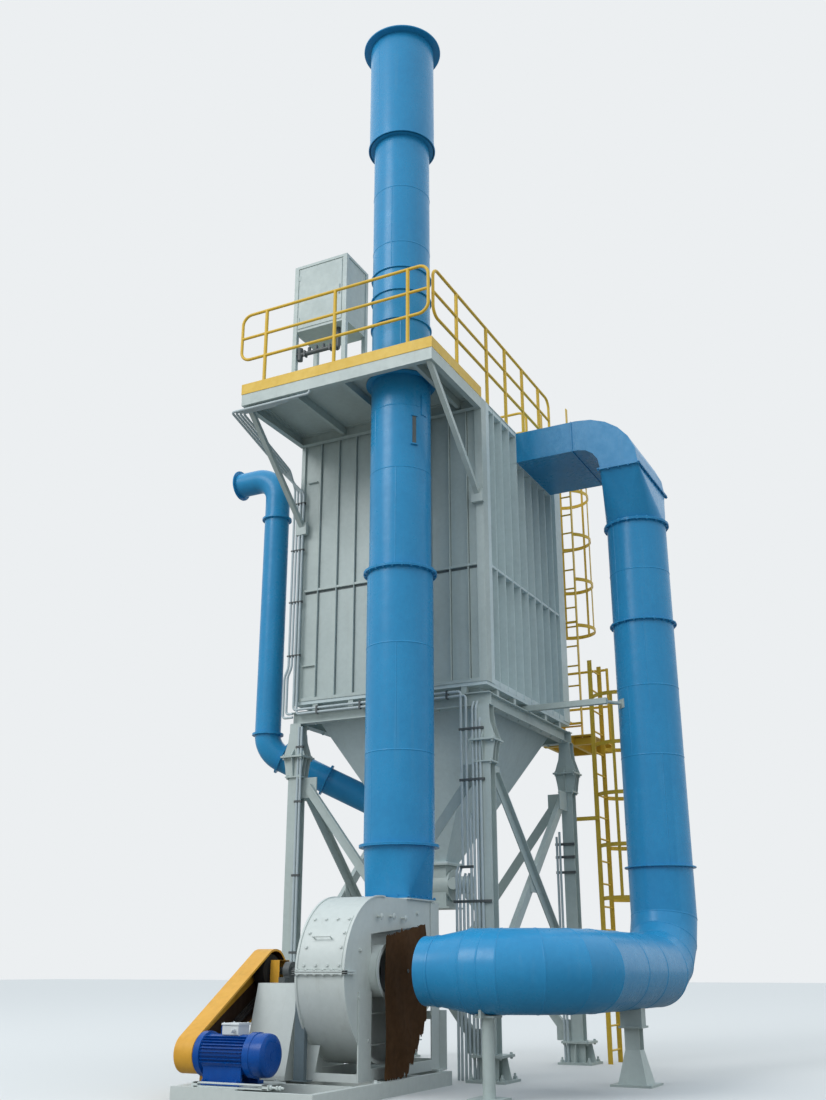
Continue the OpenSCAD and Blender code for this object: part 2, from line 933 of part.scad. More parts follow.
// Lower bend and the sloping branch that enters the hopper
module inlet_branch() {
    color(blue) {
        translate([inlet_x, inlet_y, branch_z])
            rotate([0, 0, branch_aim])
                translate([inlet_bend, 0, 0])
                    rotate([0, 180, 0])
                        rotate([90, 0, 0])
                            bend(inlet_bend, inlet_d, sheet_t, branch_turn);
        translate([inlet_x, inlet_y, branch_z - 12])
            ring(inlet_d - sheet_t, inlet_d + 70, 12);
        on_branch()
            tube(inlet_d, sheet_t, 1560);
        for (z = [-12, 620])
            on_branch()
                translate([0, 0, z])
                    ring(inlet_d - sheet_t, inlet_d + 70, 24);
    }
}

skid_h = 130;
skid_x = -420;
skid_over = 200;
skid_front = 1500;
skid_back = 1150;

// Channel skid that carries the fan, bearings and motor
module fan_skid() {
    x0 = skid_x;
    x1 = fan_x + fan_w + skid_over;
    y0 = shaft_y - skid_front;
    y1 = shaft_y + skid_back;
    h = skid_h;
    color(pale) {
        translate([x0, y0, 0])
            channel(x1 - x0, 60, h, 8);
        translate([x1, y1, 0])
            rotate([0, 0, 180])
                channel(x1 - x0, 60, h, 8);
        translate([x1, y0, 0])
            rotate([0, 0, 90])
                channel(y1 - y0, 60, h, 8);
        translate([x0, y1, 0])
            rotate([0, 0, -90])
                channel(y1 - y0, 60, h, 8);
        for (y = [shaft_y - 780, shaft_y - 200, shaft_y + 500])
            translate([x0, y, 0])
                channel(x1 - x0, 60, h, 8);
        span(x0, fan_x - 60, y0, shaft_y - 720, h, h + 12);
    }
}

// Growing radius of the fan scroll, a in degrees from the top toward the front
function scroll_r(a) = (fan_top - shaft_z) + 450 * pow(a / 270, 2.4);

wall = 8;
recess = 100;
shaft_d = 70;
bearing_z = 110;

// Side outline of the scroll, moved inward by g
module scroll_outline(g) {
    top = fan_top - shaft_z - g;
    pts = [for (a = [0 : 9 : 270]) [-(scroll_r(a) - g) * sin(a), (scroll_r(a) - g) * cos(a)]];
    polygon(concat(pts, [[out_y2 - shaft_y - g, top]]));
}

module fan_casing() {
    top = fan_top - shaft_z;
    lip = -scroll_r(90);
    color(pale) {
        translate([fan_x, shaft_y, shaft_z])
            rotate([90, 0, 90]) {
                difference() {
                    linear_extrude(height = fan_w)
                        scroll_outline(0);
                    translate([0, 0, wall])
                        linear_extrude(height = fan_w - recess - 2 * wall)
                            scroll_outline(wall);
                    translate([-280, -740, fan_w - recess])
                        cube([920, 1070, recess + 1]);
                    translate([0, 0, fan_w - recess - 50])
                        cylinder(d = 520, h = 100);
                    translate([0, 0, -1])
                        cylinder(d = shaft_d + 20, h = 30);
                    translate([out_y1 - shaft_y + 15, top - 40, 15])
                        cube([out_y2 - out_y1 - 30, 60, fan_w - recess - 30]);
                }
                translate([0, 0, fan_w - recess - 80])
                    tube(540, 10, recess + 225);
                for (z = [-680, -380])
                    translate([-281, z, fan_w - recess - 1])
                        cube([200, 8, 60]);
            }
        difference() {
            span(fan_x - 30, fan_x + fan_w + 30, out_y1 - 30, out_y2 + 30, fan_top, fan_top + 14);
            span(fan_x + 20, fan_x + fan_w - 20, out_y1 + 20, out_y2 - 20, fan_top - 1, fan_top + 15);
        }
        for (x = [fan_x - 30, fan_x + fan_w])
            span(x, x + 30, shaft_y + lip - 30, shaft_y + lip + 130, shaft_z - 30, shaft_z + 8);
        span(fan_x - 30, fan_x + fan_w + 30, shaft_y + lip - 30, shaft_y + lip + 2, shaft_z - 30, shaft_z + 8);
    }
}

leg_front = 430;
leg_back = 140;

// Legs, side plates and front plate that carry the fan casing on the skid
module fan_frame() {
    y0 = shaft_y - leg_front;
    y1 = out_y2 + leg_back;
    z0 = skid_h;
    x1 = fan_x + fan_w;
    color(pale) {
        for (x = [fan_x - 14, x1]) {
            span(x, x + 14, y0, y0 + 150, z0, shaft_z + 180);
            span(x, x + 14, out_y2 - 60, y1, z0, fan_top - 10);
            span(x, x + 14, y0, y1, z0, z0 + 100);
        }
        translate([0, y0 + 14, 0])
            rotate([90, 0, 0])
                linear_extrude(height = 14)
                    polygon([[fan_x - 70, z0], [fan_x - 45, shaft_z - 430], [fan_x - 1, shaft_z - 430],
                        [fan_x - 1, z0 + 265], [fan_x + 95, z0 + 265], [fan_x + 75, z0 + 85], [x1 - 90, z0 + 85],
                        [x1 - 90, z0 + 265], [x1 + 14, z0 + 265], [x1 + 14, z0]]);
        span(fan_x - 14, x1 + 14, y1 - 14, y1, z0, z0 + 100);
        span(fan_x - 14, x1 + 14, y1 - 14, y1, shaft_z - 470, shaft_z - 390);
        span(x1, x1 + 90, y1 - 14, y1, z0, shaft_z - 380);
        span(x1, x1 + 90, out_y2 - 60, y1, z0, z0 + 14);
    }
}

pedestal_half = 540;
pedestal_x = -350;
pedestal_w = 470;

// Box pedestal under the fan shaft's bearings
module bearing_pedestal() {
    h = shaft_z - bearing_z - skid_h;
    foot = pedestal_half;
    top = pedestal_half - 210;
    color(pale)
        translate([pedestal_x, shaft_y, skid_h])
            rotate([90, 0, 90])
                linear_extrude(height = pedestal_w)
                    polygon([[-foot, 0], [-foot, 40], [-top, h], [top, h], [foot, 40], [foot, 0]]);
}

rotor_r = 520;

// Shaft in two block bearings, with the impeller inside the casing
module fan_rotor() {
    r = rotor_r;
    w = 250;
    x0 = belt_x - 80;
    color("#5a5f60")
    translate([x0, shaft_y, shaft_z]) {
        rotate([0, 90, 0])
            cylinder(d = shaft_d, h = fan_x - x0 + 140);
        for (x = [320, 580])
            translate([x, 0, 0]) {
                rotate([0, 90, 0])
                    cylinder(d = 170, h = 70);
                translate([0, -150, -bearing_z])
                    cube([70, 300, 50]);
                translate([0, -70, -bearing_z])
                    cube([70, 140, 110]);
            }
        translate([fan_x - x0 + 30, 0, 0])
            rotate([90, 0, 90]) {
                cylinder(r = r, h = 8);
                cylinder(r = 85, h = 100);
                for (i = [0 : 9])
                    rotate([0, 0, 36 * i])
                        translate([0, 0, 7])
                            linear_extrude(height = w)
                                blade(0.54 * r, r - 5);
                translate([0, 0, w + 6])
                    ring(1.08 * r, 2 * r, 8);
            }
    }
}

// Backward-leaning blade outline from radius r0 to radius r1
module blade(r0, r1) {
    n = 6;
    edge = [for (k = [0 : n]) let (r = r0 + (r1 - r0) * k / n, a = 40 * k / n) [r * cos(a), r * sin(a)]];
    back = [for (k = [n : -1 : 0]) let (r = r0 + (r1 - r0) * k / n, a = 40 * k / n + 1.2) [r * cos(a), r * sin(a)]];
    polygon(concat(edge, back));
}

motor_y = -4080;
motor_z = 380;
belt_x = -480;
motor_shaft = 48;
fit = 0.8;
belt_dist = sqrt(pow(shaft_y - motor_y, 2) + pow(shaft_z - motor_z, 2));
belt_tilt = atan2(shaft_z - motor_z, shaft_y - motor_y);

// Oblong outline from a circle at the origin to one of another radius at distance d
module oblong(r0, r1, d) {
    b = acos((r0 - r1) / d);
    circle(r = r0);
    translate([d, 0])
        circle(r = r1);
    polygon([[r0 * cos(b), r0 * sin(b)], [d + r1 * cos(b), r1 * sin(b)],
        [d + r1 * cos(b), -r1 * sin(b)], [r0 * cos(b), -r0 * sin(b)]]);
}

// Puts an outline in the belt plane, its origin on the motor shaft
module on_belt(x0, x1) {
    translate([x0, motor_y, motor_z])
        rotate([90, 0, 90])
            rotate([0, 0, belt_tilt])
                linear_extrude(height = x1 - x0)
                    children();
}

module belt_guard() {
    foot = motor_y + 30;
    color(yellow) {
        difference() {
            on_belt(belt_x - 100, belt_x + 100)
                oblong(170, 205, belt_dist);
            on_belt(belt_x - 92, belt_x + 101)
                oblong(164, 199, belt_dist);
        }
        span(belt_x + 50, belt_x + 98, foot, foot + 80, skid_h + 12, motor_z - 145);
        difference() {
            span(belt_x + 102, belt_x + 206, shaft_y - 90, shaft_y + 90, shaft_z - bearing_z, shaft_z + 100);
            span(belt_x + 101, belt_x + 207, shaft_y - 82, shaft_y + 82, shaft_z - bearing_z - 1, shaft_z + 92);
        }
    }
}

module drive_belts() {
    color("#2a2826") {
        difference() {
            on_belt(belt_x - 60, belt_x + 60)
                circle(r = 110);
            on_belt(belt_x - 61, belt_x + 61)
                circle(d = motor_shaft + fit);
        }
        difference() {
            on_belt(belt_x - 60, belt_x + 60)
                translate([belt_dist, 0])
                    circle(r = 150);
            on_belt(belt_x - 61, belt_x + 61)
                translate([belt_dist, 0])
                    circle(d = shaft_d + fit);
        }
        for (k = [-1, 0, 1])
            translate([k * 36, 0, 0])
                difference() {
                    on_belt(belt_x - 9, belt_x + 9)
                        oblong(118, 158, belt_dist);
                    on_belt(belt_x - 10, belt_x + 10)
                        oblong(106, 146, belt_dist);
                }
    }
}

module motor() {
    x0 = belt_x + 110;
    color("#0b3f8f") {
        translate([x0, motor_y, motor_z])
            rotate([0, 90, 0])
                cylinder(d = 380, h = 620);
        translate([belt_x - 40, motor_y, motor_z])
            rotate([0, 90, 0])
                cylinder(d = motor_shaft, h = 200);
        translate([x0 + 620, motor_y, motor_z])
            rotate([0, 90, 0])
                cylinder(d = 340, h = 110);
        span(x0 + 80, x0 + 540, motor_y - 200, motor_y + 200, skid_h + 12, motor_z - 180);
        span(x0 + 140, x0 + 320, motor_y - 90, motor_y + 90, motor_z + 150, motor_z + 270);
    }
}

// Thin rusty sheet hung between the duct's end and the fan's inlet
module inlet_sheet() {
    x = fan_x + fan_w + 145;
    front = shaft_y - 180;
    back = shaft_y + 660;
    color("#4a3020")
        translate([x, 0, 0])
            rotate([90, 0, 90])
                linear_extrude(height = 6)
                    polygon([[front, 1380], [back, 1520], [back - 20, 900], [back + 50, 620], [back - 60, 330],
                        [back - 180, 250], [back - 330, 170], [back - 480, 180],
                        [front + 160, skid_h + 0.3], [front, skid_h + 0.3]]);
}

stack_low = fan_top + 550;
stack_mid = stack_low + 3040;
head_len = 1660;
stack_neck = stack_top - head_len;
lift_z = 8515;

// Square to round foot of the stack on the fan's outlet
module foot_form(w, d, dia) {
    hull() {
        translate([stack_x, stack_y, fan_top + 15])
            cube([w, d, 2], center = true);
        translate([stack_x, stack_y, stack_low])
            cylinder(d = dia, h = 1, $fn = 48);
    }
}

module stack_foot() {
    w = fan_w;
    d = out_y2 - out_y1;
    t = sheet_t;
    color(blue) {
        difference() {
            foot_form(w, d, stack_d);
            translate([0, 0, -0.5])
                foot_form(w - 2 * t, d - 2 * t, stack_d - 2 * t);
            translate([0, 0, 1])
                foot_form(w - 2 * t, d - 2 * t, stack_d - 2 * t);
        }
        difference() {
            span(stack_x - w / 2 - 30, stack_x + w / 2 + 30, out_y1 - 30, out_y2 + 30, fan_top + 14, fan_top + 26);
            span(stack_x - w / 2 + t, stack_x + w / 2 - t, out_y1 + t, out_y2 - t, fan_top, fan_top + 40);
        }
        translate([stack_x, stack_y, stack_low - 14])
            ring(stack_d - sheet_t, stack_d + 50, 15);
    }
}

module stack_lower() {
    z0 = stack_low + 1;
    color(blue)
    translate([stack_x, stack_y, z0]) {
        tube(stack_d, sheet_t, stack_mid - z0);
        ring(stack_d - sheet_t, stack_d + 50, 15);
        translate([0, 0, stack_mid - z0 - 15])
            ring(stack_d - sheet_t, stack_d + 90, 15);
    }
}

module stack_upper() {
    d = stack_d - 36;
    color(blue)
    translate([stack_x, stack_y, stack_mid]) {
        tube(d, sheet_t, stack_neck - stack_mid);
        ring(d - sheet_t, stack_d + 90, 15);
        for (z = [lift_z, lift_z + 402, lift_z + 723])
            translate([0, 0, z - stack_mid])
                ring(d - sheet_t, d + 40, 20);
        translate([0, 0, roof_z - 20.3 - stack_mid])
            ring(d - sheet_t, stack_d + 94, 20);
    }
}

module stack_head() {
    d = stack_d + 94;
    color(blue)
    translate([stack_x, stack_y, stack_neck]) {
        tube(d, sheet_t, stack_top - stack_neck);
        ring(stack_d - 36 - 2 * sheet_t, d, 12);
        ring(d - sheet_t, d + 30, 24);
        translate([0, 0, stack_top - stack_neck - 24])
            ring(d - sheet_t, d + 190, 24);
    }
}

columns();
ring_beams();
bracing_front();
bracing_right();
bracing_rear();
bracing_left();
housing_front_wall();
housing_right_wall();
housing_rear_wall();
housing_left_wall();
housing_roof();
hopper();
hopper_discharge();
roof_cabinet();
platform_deck();
platform_frame();
toe_board();
handrails();
ladder_lower();
ladder_upper();
rest_platform();
outlet_duct();
outlet_transition();
main_riser();
riser_stay();
suction_duct();
suction_reducer();
duct_post_front();
duct_post_rear();
inlet_elbow();
inlet_riser();
inlet_branch();
fan_skid();
fan_casing();
fan_frame();
bearing_pedestal();
fan_rotor();
belt_guard();
drive_belts();
motor();
inlet_sheet();
stack_foot();
stack_lower();
stack_upper();
stack_head();
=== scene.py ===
import json

import bpy
import numpy as np
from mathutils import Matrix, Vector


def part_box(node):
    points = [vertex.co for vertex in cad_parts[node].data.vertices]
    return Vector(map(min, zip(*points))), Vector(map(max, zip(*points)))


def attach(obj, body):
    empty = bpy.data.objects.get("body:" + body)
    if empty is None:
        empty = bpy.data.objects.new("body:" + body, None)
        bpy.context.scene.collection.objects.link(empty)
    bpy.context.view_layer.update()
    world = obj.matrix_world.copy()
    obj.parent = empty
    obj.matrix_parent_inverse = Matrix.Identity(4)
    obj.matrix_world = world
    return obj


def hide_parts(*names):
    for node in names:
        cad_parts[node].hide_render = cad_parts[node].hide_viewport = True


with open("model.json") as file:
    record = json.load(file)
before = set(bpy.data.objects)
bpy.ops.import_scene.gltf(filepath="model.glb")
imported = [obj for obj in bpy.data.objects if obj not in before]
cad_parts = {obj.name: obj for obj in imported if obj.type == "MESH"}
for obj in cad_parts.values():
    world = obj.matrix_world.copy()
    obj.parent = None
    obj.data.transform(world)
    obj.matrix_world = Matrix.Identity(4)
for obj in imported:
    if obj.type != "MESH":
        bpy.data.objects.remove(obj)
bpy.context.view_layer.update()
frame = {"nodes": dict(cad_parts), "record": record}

# View and light. The camera stands on the ground in front of the right-hand
# corner and looks up by 20 degrees. The light is an even overcast sky, with one
# large soft lamp high in front on the left.
scene = bpy.context.scene
scene.view_settings.view_transform = "Standard"
EYE = (6.365, -13.205, 1.09)
TILT = np.radians(20.0)
HEADING = np.radians(26.97)
camera = bpy.data.objects.new("camera", bpy.data.cameras.new("camera"))
camera.data.lens = 37.64
camera.data.clip_end = 500
camera.location = EYE
camera.rotation_euler = (np.pi / 2 + TILT, 0, HEADING)
scene.collection.objects.link(camera)
scene.camera = camera


def linear(colour):
    """sRGB hex colour as linear RGBA: each channel through the sRGB curve."""
    c = np.array([int(colour[i:i + 2], 16) for i in (1, 3, 5)]) / 255
    c = np.where(c <= 0.04045, c / 12.92, ((c + 0.055) / 1.055) ** 2.4)
    return (*c, 1.0)


def add(tree, kind, links=(), **settings):
    """One shader node. Settings name its properties or sockets, where i3 is socket number 3,
    and links are (socket, source) pairs."""
    node = tree.nodes.new("ShaderNode" + kind)
    for key, value in settings.items():
        if hasattr(node, key):
            setattr(node, key, value)
        else:
            socket = int(key[1:]) if key[1:].isdigit() else key.replace("_", " ")
            node.inputs[socket].default_value = value
    for socket, source in links:
        tree.links.new(source, node.inputs[socket])
    return node


def mapped(tree, source, low, high, to_low, to_high):
    """Value that goes from to_low to to_high while the source goes from low to high."""
    return add(tree, "MapRange", [(0, source)], i1=low, i2=high, i3=to_low, i4=to_high).outputs[0]


world = bpy.data.worlds.new("overcast_sky")
scene.world = world
world.use_nodes = True
sky = world.node_tree
sky.nodes.clear()
rays = add(sky, "LightPath")
way = add(sky, "TexCoord")
split = add(sky, "SeparateXYZ", [(0, way.outputs["Generated"])])
strength = mapped(sky, split.outputs["Z"], -0.15, 0.75, 0.60, 1.32)
light = add(sky, "Background", [(1, strength)], Color=linear("#e6eef4"))
plain = add(sky, "Background", Color=linear("#eceff1"), Strength=1.0)
both = add(sky, "MixShader", [
    (0, rays.outputs["Is Camera Ray"]), (1, light.outputs[0]), (2, plain.outputs[0])])
add(sky, "OutputWorld", [("Surface", both.outputs[0])])

lamp = bpy.data.objects.new("sky_lamp", bpy.data.lights.new("sky_lamp", "AREA"))
lamp.data.shape = "DISK"
lamp.data.size = 14
lamp.data.energy = 2600
lamp.location = (-9, -22, 20)
lamp.rotation_euler = (np.radians(52), 0, np.radians(-24))
scene.collection.objects.link(lamp)

reach = 90.0
floor_mesh = bpy.data.meshes.new("floor")
corners = [(-reach, -reach, 0), (reach, -reach, 0), (reach, reach, 0), (-reach, reach, 0)]
floor_mesh.from_pydata(corners, [], [(0, 1, 2, 3)])
floor = bpy.data.objects.new("floor", floor_mesh)
scene.collection.objects.link(floor)
plaster = bpy.data.materials.new("pale_floor")
plaster.use_nodes = True
tree = plaster.node_tree
seen = add(tree, "LightPath")
tone = add(tree, "Mix", [(0, seen.outputs["Is Camera Ray"])], data_type="RGBA",
           i6=linear("#8a8984"), i7=linear("#d9dad9"))
tree.links.new(tone.outputs[2], tree.nodes["Principled BSDF"].inputs["Base Color"])
tree.nodes["Principled BSDF"].inputs["Roughness"].default_value = 0.9
floor_mesh.materials.append(plaster)

# Painted steel. Every big part is mild steel under a sprayed two-coat paint: a
# satin sheen, faint waves in the sheet, soft mottling, and dust and thin runs
# where rain has washed down the sides.
PEEL = 0.024  # metres between the bumps of the paint's orange peel


def painted(name, colour, shade, rough, dust="#8f8b80", dust_share=0.10, wave=0.25, gloss=0.5):
    """Paint: base colour mottled toward its shade over 0.6 m and 60 mm, dust in streaks drawn
    out downward, broad waves in the sheet and fine orange peel in the bump."""
    material = bpy.data.materials.new(name)
    material.use_nodes = True
    tree = material.node_tree
    shader = tree.nodes["Principled BSDF"]
    place = add(tree, "TexCoord").outputs["Object"]

    def noise(scale, detail, roughness=0.5, vector=place):
        """Noise of the given scale, from 0 to 1."""
        return add(tree, "TexNoise", [("Vector", vector)], Scale=scale, Detail=detail,
                   Roughness=roughness).outputs[0]

    both = add(tree, "Math", [(0, noise(1.7, 3.0, 0.55)), (1, noise(17.0, 4.0, 0.6))],
               operation="ADD").outputs[0]
    mottle = mapped(tree, both, 0.75, 1.25, 0.0, 0.55)
    tint = add(tree, "Mix", [(0, mottle)], data_type="RGBA", i6=linear(colour), i7=linear(shade))
    tall = add(tree, "Mapping", [("Vector", place)], Scale=(11.0, 11.0, 0.7)).outputs[0]
    streak = mapped(tree, noise(1.0, 5.0, 0.65, tall), 0.56, 0.80, 0.0, dust_share * 2.2)
    body = add(tree, "Mix", [(0, streak), (6, tint.outputs[2])], data_type="RGBA",
               i7=linear(dust))
    sheen = mapped(tree, both, 0.7, 1.3, rough - 0.05, rough + 0.09)
    low = add(tree, "Bump", [("Height", noise(3.2, 2.0))], Strength=wave, Distance=0.02)
    high = add(tree, "Bump", [("Height", noise(1 / PEEL, 2.0)), ("Normal", low.outputs[0])],
               Strength=0.06, Distance=0.001)
    tree.links.new(body.outputs[2], shader.inputs["Base Color"])
    tree.links.new(sheen, shader.inputs["Roughness"])
    tree.links.new(high.outputs[0], shader.inputs["Normal"])
    shader.inputs["Specular IOR Level"].default_value = gloss
    return material


PAINTS = {
    "grey_paint": painted("grey_satin_paint", "#b8c4c1", "#a8b4b1", 0.42),
    "pale_paint": painted("off_white_satin_paint", "#ccd3d0", "#bfc7c4", 0.40),
    "blue_paint": painted(
        "blue_gloss_paint", "#2e91c5", "#2481b5", 0.28, "#7fa3b8", 0.06, gloss=0.32),
    "yellow_paint": painted(
        "safety_yellow_paint", "#e2bb40", "#d4aa34", 0.40, "#8d7a3c", gloss=0.35),
    "motor_paint": painted(
        "deep_blue_enamel", "#064e9f", "#043e88", 0.26, "#4f6f94", 0.04, gloss=0.25),
    "bare_steel": painted("oiled_dark_steel", "#565b5c", "#44494a", 0.45),
    "belt_rubber": painted("black_belt_rubber", "#2b2928", "#211f1e", 0.75, wave=0.0),
    "rusty_sheet": painted(
        "rust_brown_sheet", "#54381e", "#352311", 0.75, "#6b4e30", 0.06, gloss=0.15),
}
for part in frame["record"]["subparts"]:
    cad = frame["nodes"][part["node"]]
    cad.data.materials.clear()
    cad.data.materials.append(PAINTS[part["material_slot"]])
# Painted light: a lighter copy of the grey paint for the right and rear walls and the hopper,
# standing for the light that falls on them.
lit_grey = painted("grey_paint_in_light", "#ccdadb", "#bac8c9", 0.50, dust_share=0.08)
for node in ("housing_right_wall", "housing_rear_wall", "hopper"):
    frame["nodes"][node].data.materials[0] = lit_grey


# Column heads. Tapered plates of 10 mm steel, welded to each leg, widen it to
# the bolted head plate below the ring beams and draw in again to the neck plate
# under that.
def grid(rows, cols, wrap):
    """Quads between neighbours on rows x cols points. Columns close on themselves, and so do
    rows where wrap is set."""
    r = np.arange(rows if wrap else rows - 1)[:, None]
    c = np.arange(cols)[None, :]
    below, right = (r + 1) % rows, (c + 1) % cols
    corners = (r * cols + c, r * cols + right, below * cols + right, below * cols + c)
    return np.stack(np.broadcast_arrays(*corners), -1).reshape(-1, 4)


def outward(points, faces):
    """Faces all turned over where the signed volume, summed over each face's fan of triangles,
    is below zero."""
    volume = 0.0
    for f in faces:
        a, b, c = points[f[:, :1]], points[f[:, 1:-1]], points[f[:, 2:]]
        volume += (a * np.cross(b, c)).sum()
    return points, [f[:, ::-1] for f in faces] if volume < 0 else faces


def skin(rings, wrap=False):
    """Closed surface over rings of points: quads from ring to ring, with flat ends unless the
    rings close too."""
    rings = np.asarray(rings, float)
    rows, cols = rings.shape[:2]
    faces = [grid(rows, cols, wrap)]
    if not wrap:
        faces += [np.arange(cols)[None, ::-1], (rows - 1) * cols + np.arange(cols)[None, :]]
    return outward(rings.reshape(-1, 3), faces)


def extruded(outline, axis, start, end):
    """Solid between two copies of a flat outline, which gives the two coordinates other than
    the axis, 0 to 2 for x to z."""
    return skin([np.insert(np.array(outline, float), axis, at, axis=1) for at in (start, end)])


def copies(shape, places):
    """The same shape at each place, as one: points plus every offset, faces shifted along."""
    points, faces = shape
    places = np.asarray(places, float)
    shift = np.arange(len(places))[:, None, None] * len(points)
    faces = [(f[None] + shift).reshape(-1, f.shape[1]) for f in faces]
    return (points[None] + places[:, None]).reshape(-1, 3), faces


def joined(shapes):
    """Several shapes as one: points stacked, faces shifted by the points before them."""
    points, faces, start = [], [], 0
    for p, fs in shapes:
        points.append(p)
        faces += [f + start for f in fs]
        start += len(p)
    return np.concatenate(points), faces


def piece(name, shapes, paint, stands_for=(), crease=30, material=None):
    """Puts shapes into one mesh object that rides on the plant, smooth except over edges
    sharper than the crease angle."""
    points, faces = joined(shapes)
    mesh = bpy.data.meshes.new(name)
    mesh.from_pydata(points.tolist(), [], [q for f in faces for q in f.tolist()])
    mesh.shade_smooth()
    mesh.set_sharp_from_angle(angle=np.radians(crease))
    mesh.materials.append(material or PAINTS[paint])
    body = bpy.data.objects.new(name, mesh)
    scene.collection.objects.link(body)
    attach(body, "root")
    if stands_for:
        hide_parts(*stands_for)


leg_x, leg_y = 1.250, 1.340
legs = np.array([(x, y, 0) for x in (-leg_x, leg_x) for y in (-leg_y, leg_y)])
head_taper = [(0.150, 3.510), (0.132, 3.560), (0.088, 3.690), (0.077, 3.790)]
neck_taper = [(0.105, 3.268), (0.118, 3.360), (0.142, 3.490)]
wings = []
for taper in (head_taper, neck_taper):
    outline = taper + [(-x, z) for x, z in taper[::-1]]
    wings += [copies(extruded(outline, 1, y, y + 0.010), legs) for y in (-0.082, 0.072)]
piece("column_head_plates", wings, "grey_paint")

# Column bolts. Each base plate is held by four anchor nuts on studs. Hexagon
# bolts hold the stool plates, the flared heads and the ring beams above them.
UP, DOWN, ALONG_X, ALONG_Y = (0, 0, 1), (0, 0, -1), (1, 0, 0), (0, 1, 0)


def axes(axis):
    """Three square unit vectors, the last one along the axis."""
    w = np.asarray(axis, float) / np.linalg.norm(axis)
    u = np.cross(w, (0.0, 1.0, 0.0) if abs(w[1]) < 0.9 else (1.0, 0.0, 0.0))
    u /= np.linalg.norm(u)
    return u, np.cross(w, u), w


def circle(count):
    """Angles spaced evenly round a full turn."""
    return np.arange(count) * 2 * np.pi / count


def turned(profile, centre=(0, 0, 0), axis=UP, sides=72):
    """Closed (radius, height) profile turned about an axis: centre + r cos t u + r sin t v
    + h w."""
    r, h = np.asarray(profile, float).T[:, :, None, None]
    u, v, w = axes(axis)
    t = circle(sides)[None, :, None]
    return skin(centre + r * (np.cos(t) * u + np.sin(t) * v) + h * w, wrap=True)


def rod(radius, start, end):
    """Profile of a plain round rod."""
    return [(0.001, start), (radius, start), (radius, end), (0.001, end)]


def bolts(places, axis, across, head):
    """Hexagon heads on washers, their seats at the places and their heads along the axis."""
    washer = turned(rod(across * 0.85, 0, 0.003), axis=axis, sides=12)
    hexagon = turned([(0.001, 0.003), (across * 0.58, 0.003), (across * 0.58, head),
                      (across * 0.48, head + 0.003), (0.001, head + 0.003)], axis=axis, sides=6)
    return copies(joined([washer, hexagon]), places)


def four(reach, z):
    """Four places at height z round every leg, the same reach away in x and y."""
    corners = np.array([(x, y, z) for x in (-reach, reach) for y in (-reach, reach)])
    return (legs[:, None] + corners).reshape(-1, 3)


stud = [(0.001, 0), (0.012, 0), (0.012, 0.052), (0.010, 0.056), (0.001, 0.056)]
column_bolts = [copies(turned(stud, sides=16), four(0.170, 0.025))]
for axis, across, head, reach, z in (
        (UP, 0.042, 0.026, 0.170, 0.025),  # base plate
        (UP, 0.028, 0.016, 0.145, 0.260), (DOWN, 0.028, 0.016, 0.145, 0.235),  # stool
        (UP, 0.028, 0.016, 0.120, 3.510), (DOWN, 0.028, 0.022, 0.120, 3.490),  # head plate
        (UP, 0.024, 0.014, 0.082, 3.268), (DOWN, 0.024, 0.018, 0.082, 3.252)):  # neck plate
    column_bolts.append(bolts(four(reach, z), axis, across, head))
piece("column_bolts", column_bolts, "grey_paint")
beam_z = 3.905
beams = [(x, s * 1.345, beam_z) for x in np.linspace(-1.0, 1.0, 7) for s in (-1, 1)]
beams += [(s * 1.270, y, beam_z) for y in np.linspace(-1.1, 1.1, 7) for s in (-1, 1)]
piece("ring_beam_bolts", [bolts(beams, DOWN, 0.026, 0.016)], "grey_paint")


# Housing front. The front is flat panels of folded sheet between shallow upright
# bars, with one bar across below the middle and two short cable brackets at the
# left. Every edge is welded, and thin strips of painted shade lie beside the bars.
def box_of(node):
    """Lowest and highest corner of a CAD node as arrays."""
    low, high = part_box(node)
    return np.array(low), np.array(high)


def brick(low, high, ease=0.002):
    """Bar between two corners with its long edges eased: eight-cornered rings at both ends of
    its longest side."""
    low, high = np.minimum(low, high).astype(float), np.maximum(low, high).astype(float)
    k = int(np.argmax(high - low))
    i, j = [q for q in range(3) if q != k]
    e = min(ease, (high - low)[[i, j]].min() / 4)
    a = [low[i], low[i] + e, high[i] - e, high[i], high[i], high[i] - e, low[i] + e, low[i]]
    b = [low[j] + e, low[j], low[j], low[j] + e, high[j] - e, high[j], high[j], high[j] - e]
    rings = np.zeros((2, 8, 3))
    rings[..., i], rings[..., j] = a, b
    rings[0, :, k], rings[1, :, k] = low[k], high[k]
    return skin(rings)


(wall_x0, face_y, wall_z0), (wall_x1, inner_y, wall_z1) = box_of("housing_front_wall")
panel_y = face_y + 0.034
root_y = panel_y + 0.002
uprights = [(x, 0, 0) for x in (
    -1.006, -0.735, -0.478, -0.215, 0.050, 0.315, 0.580, 0.845, 1.085)]
upright = brick((-0.005, face_y, wall_z0 + 0.04), (0.005, root_y, wall_z1 - 0.02))
front_wall = [brick((wall_x0, panel_y, wall_z0), (wall_x1, inner_y, wall_z1)),
              copies(upright, uprights)]
bar_x0, bar_x1 = wall_x0 + 0.1, wall_x1 - 0.1
for x0, x1, y, z0, z1 in (
        (wall_x0, wall_x0 + 0.055, face_y, wall_z0, wall_z1),
        (bar_x1, wall_x1, face_y, wall_z0, wall_z1),
        (bar_x0, bar_x1, face_y, wall_z0, wall_z0 + 0.040),
        (bar_x0, bar_x1, face_y, wall_z1 - 0.020, wall_z1),
        (bar_x0, bar_x1, face_y + 0.004, 5.595, 5.625),
        (-1.20, -1.00, face_y + 0.002, 4.620, 4.636),
        (-1.20, -1.06, face_y + 0.002, 7.100, 7.116)):
    front_wall.append(brick((x0, y, z0), (x1, root_y, z1)))
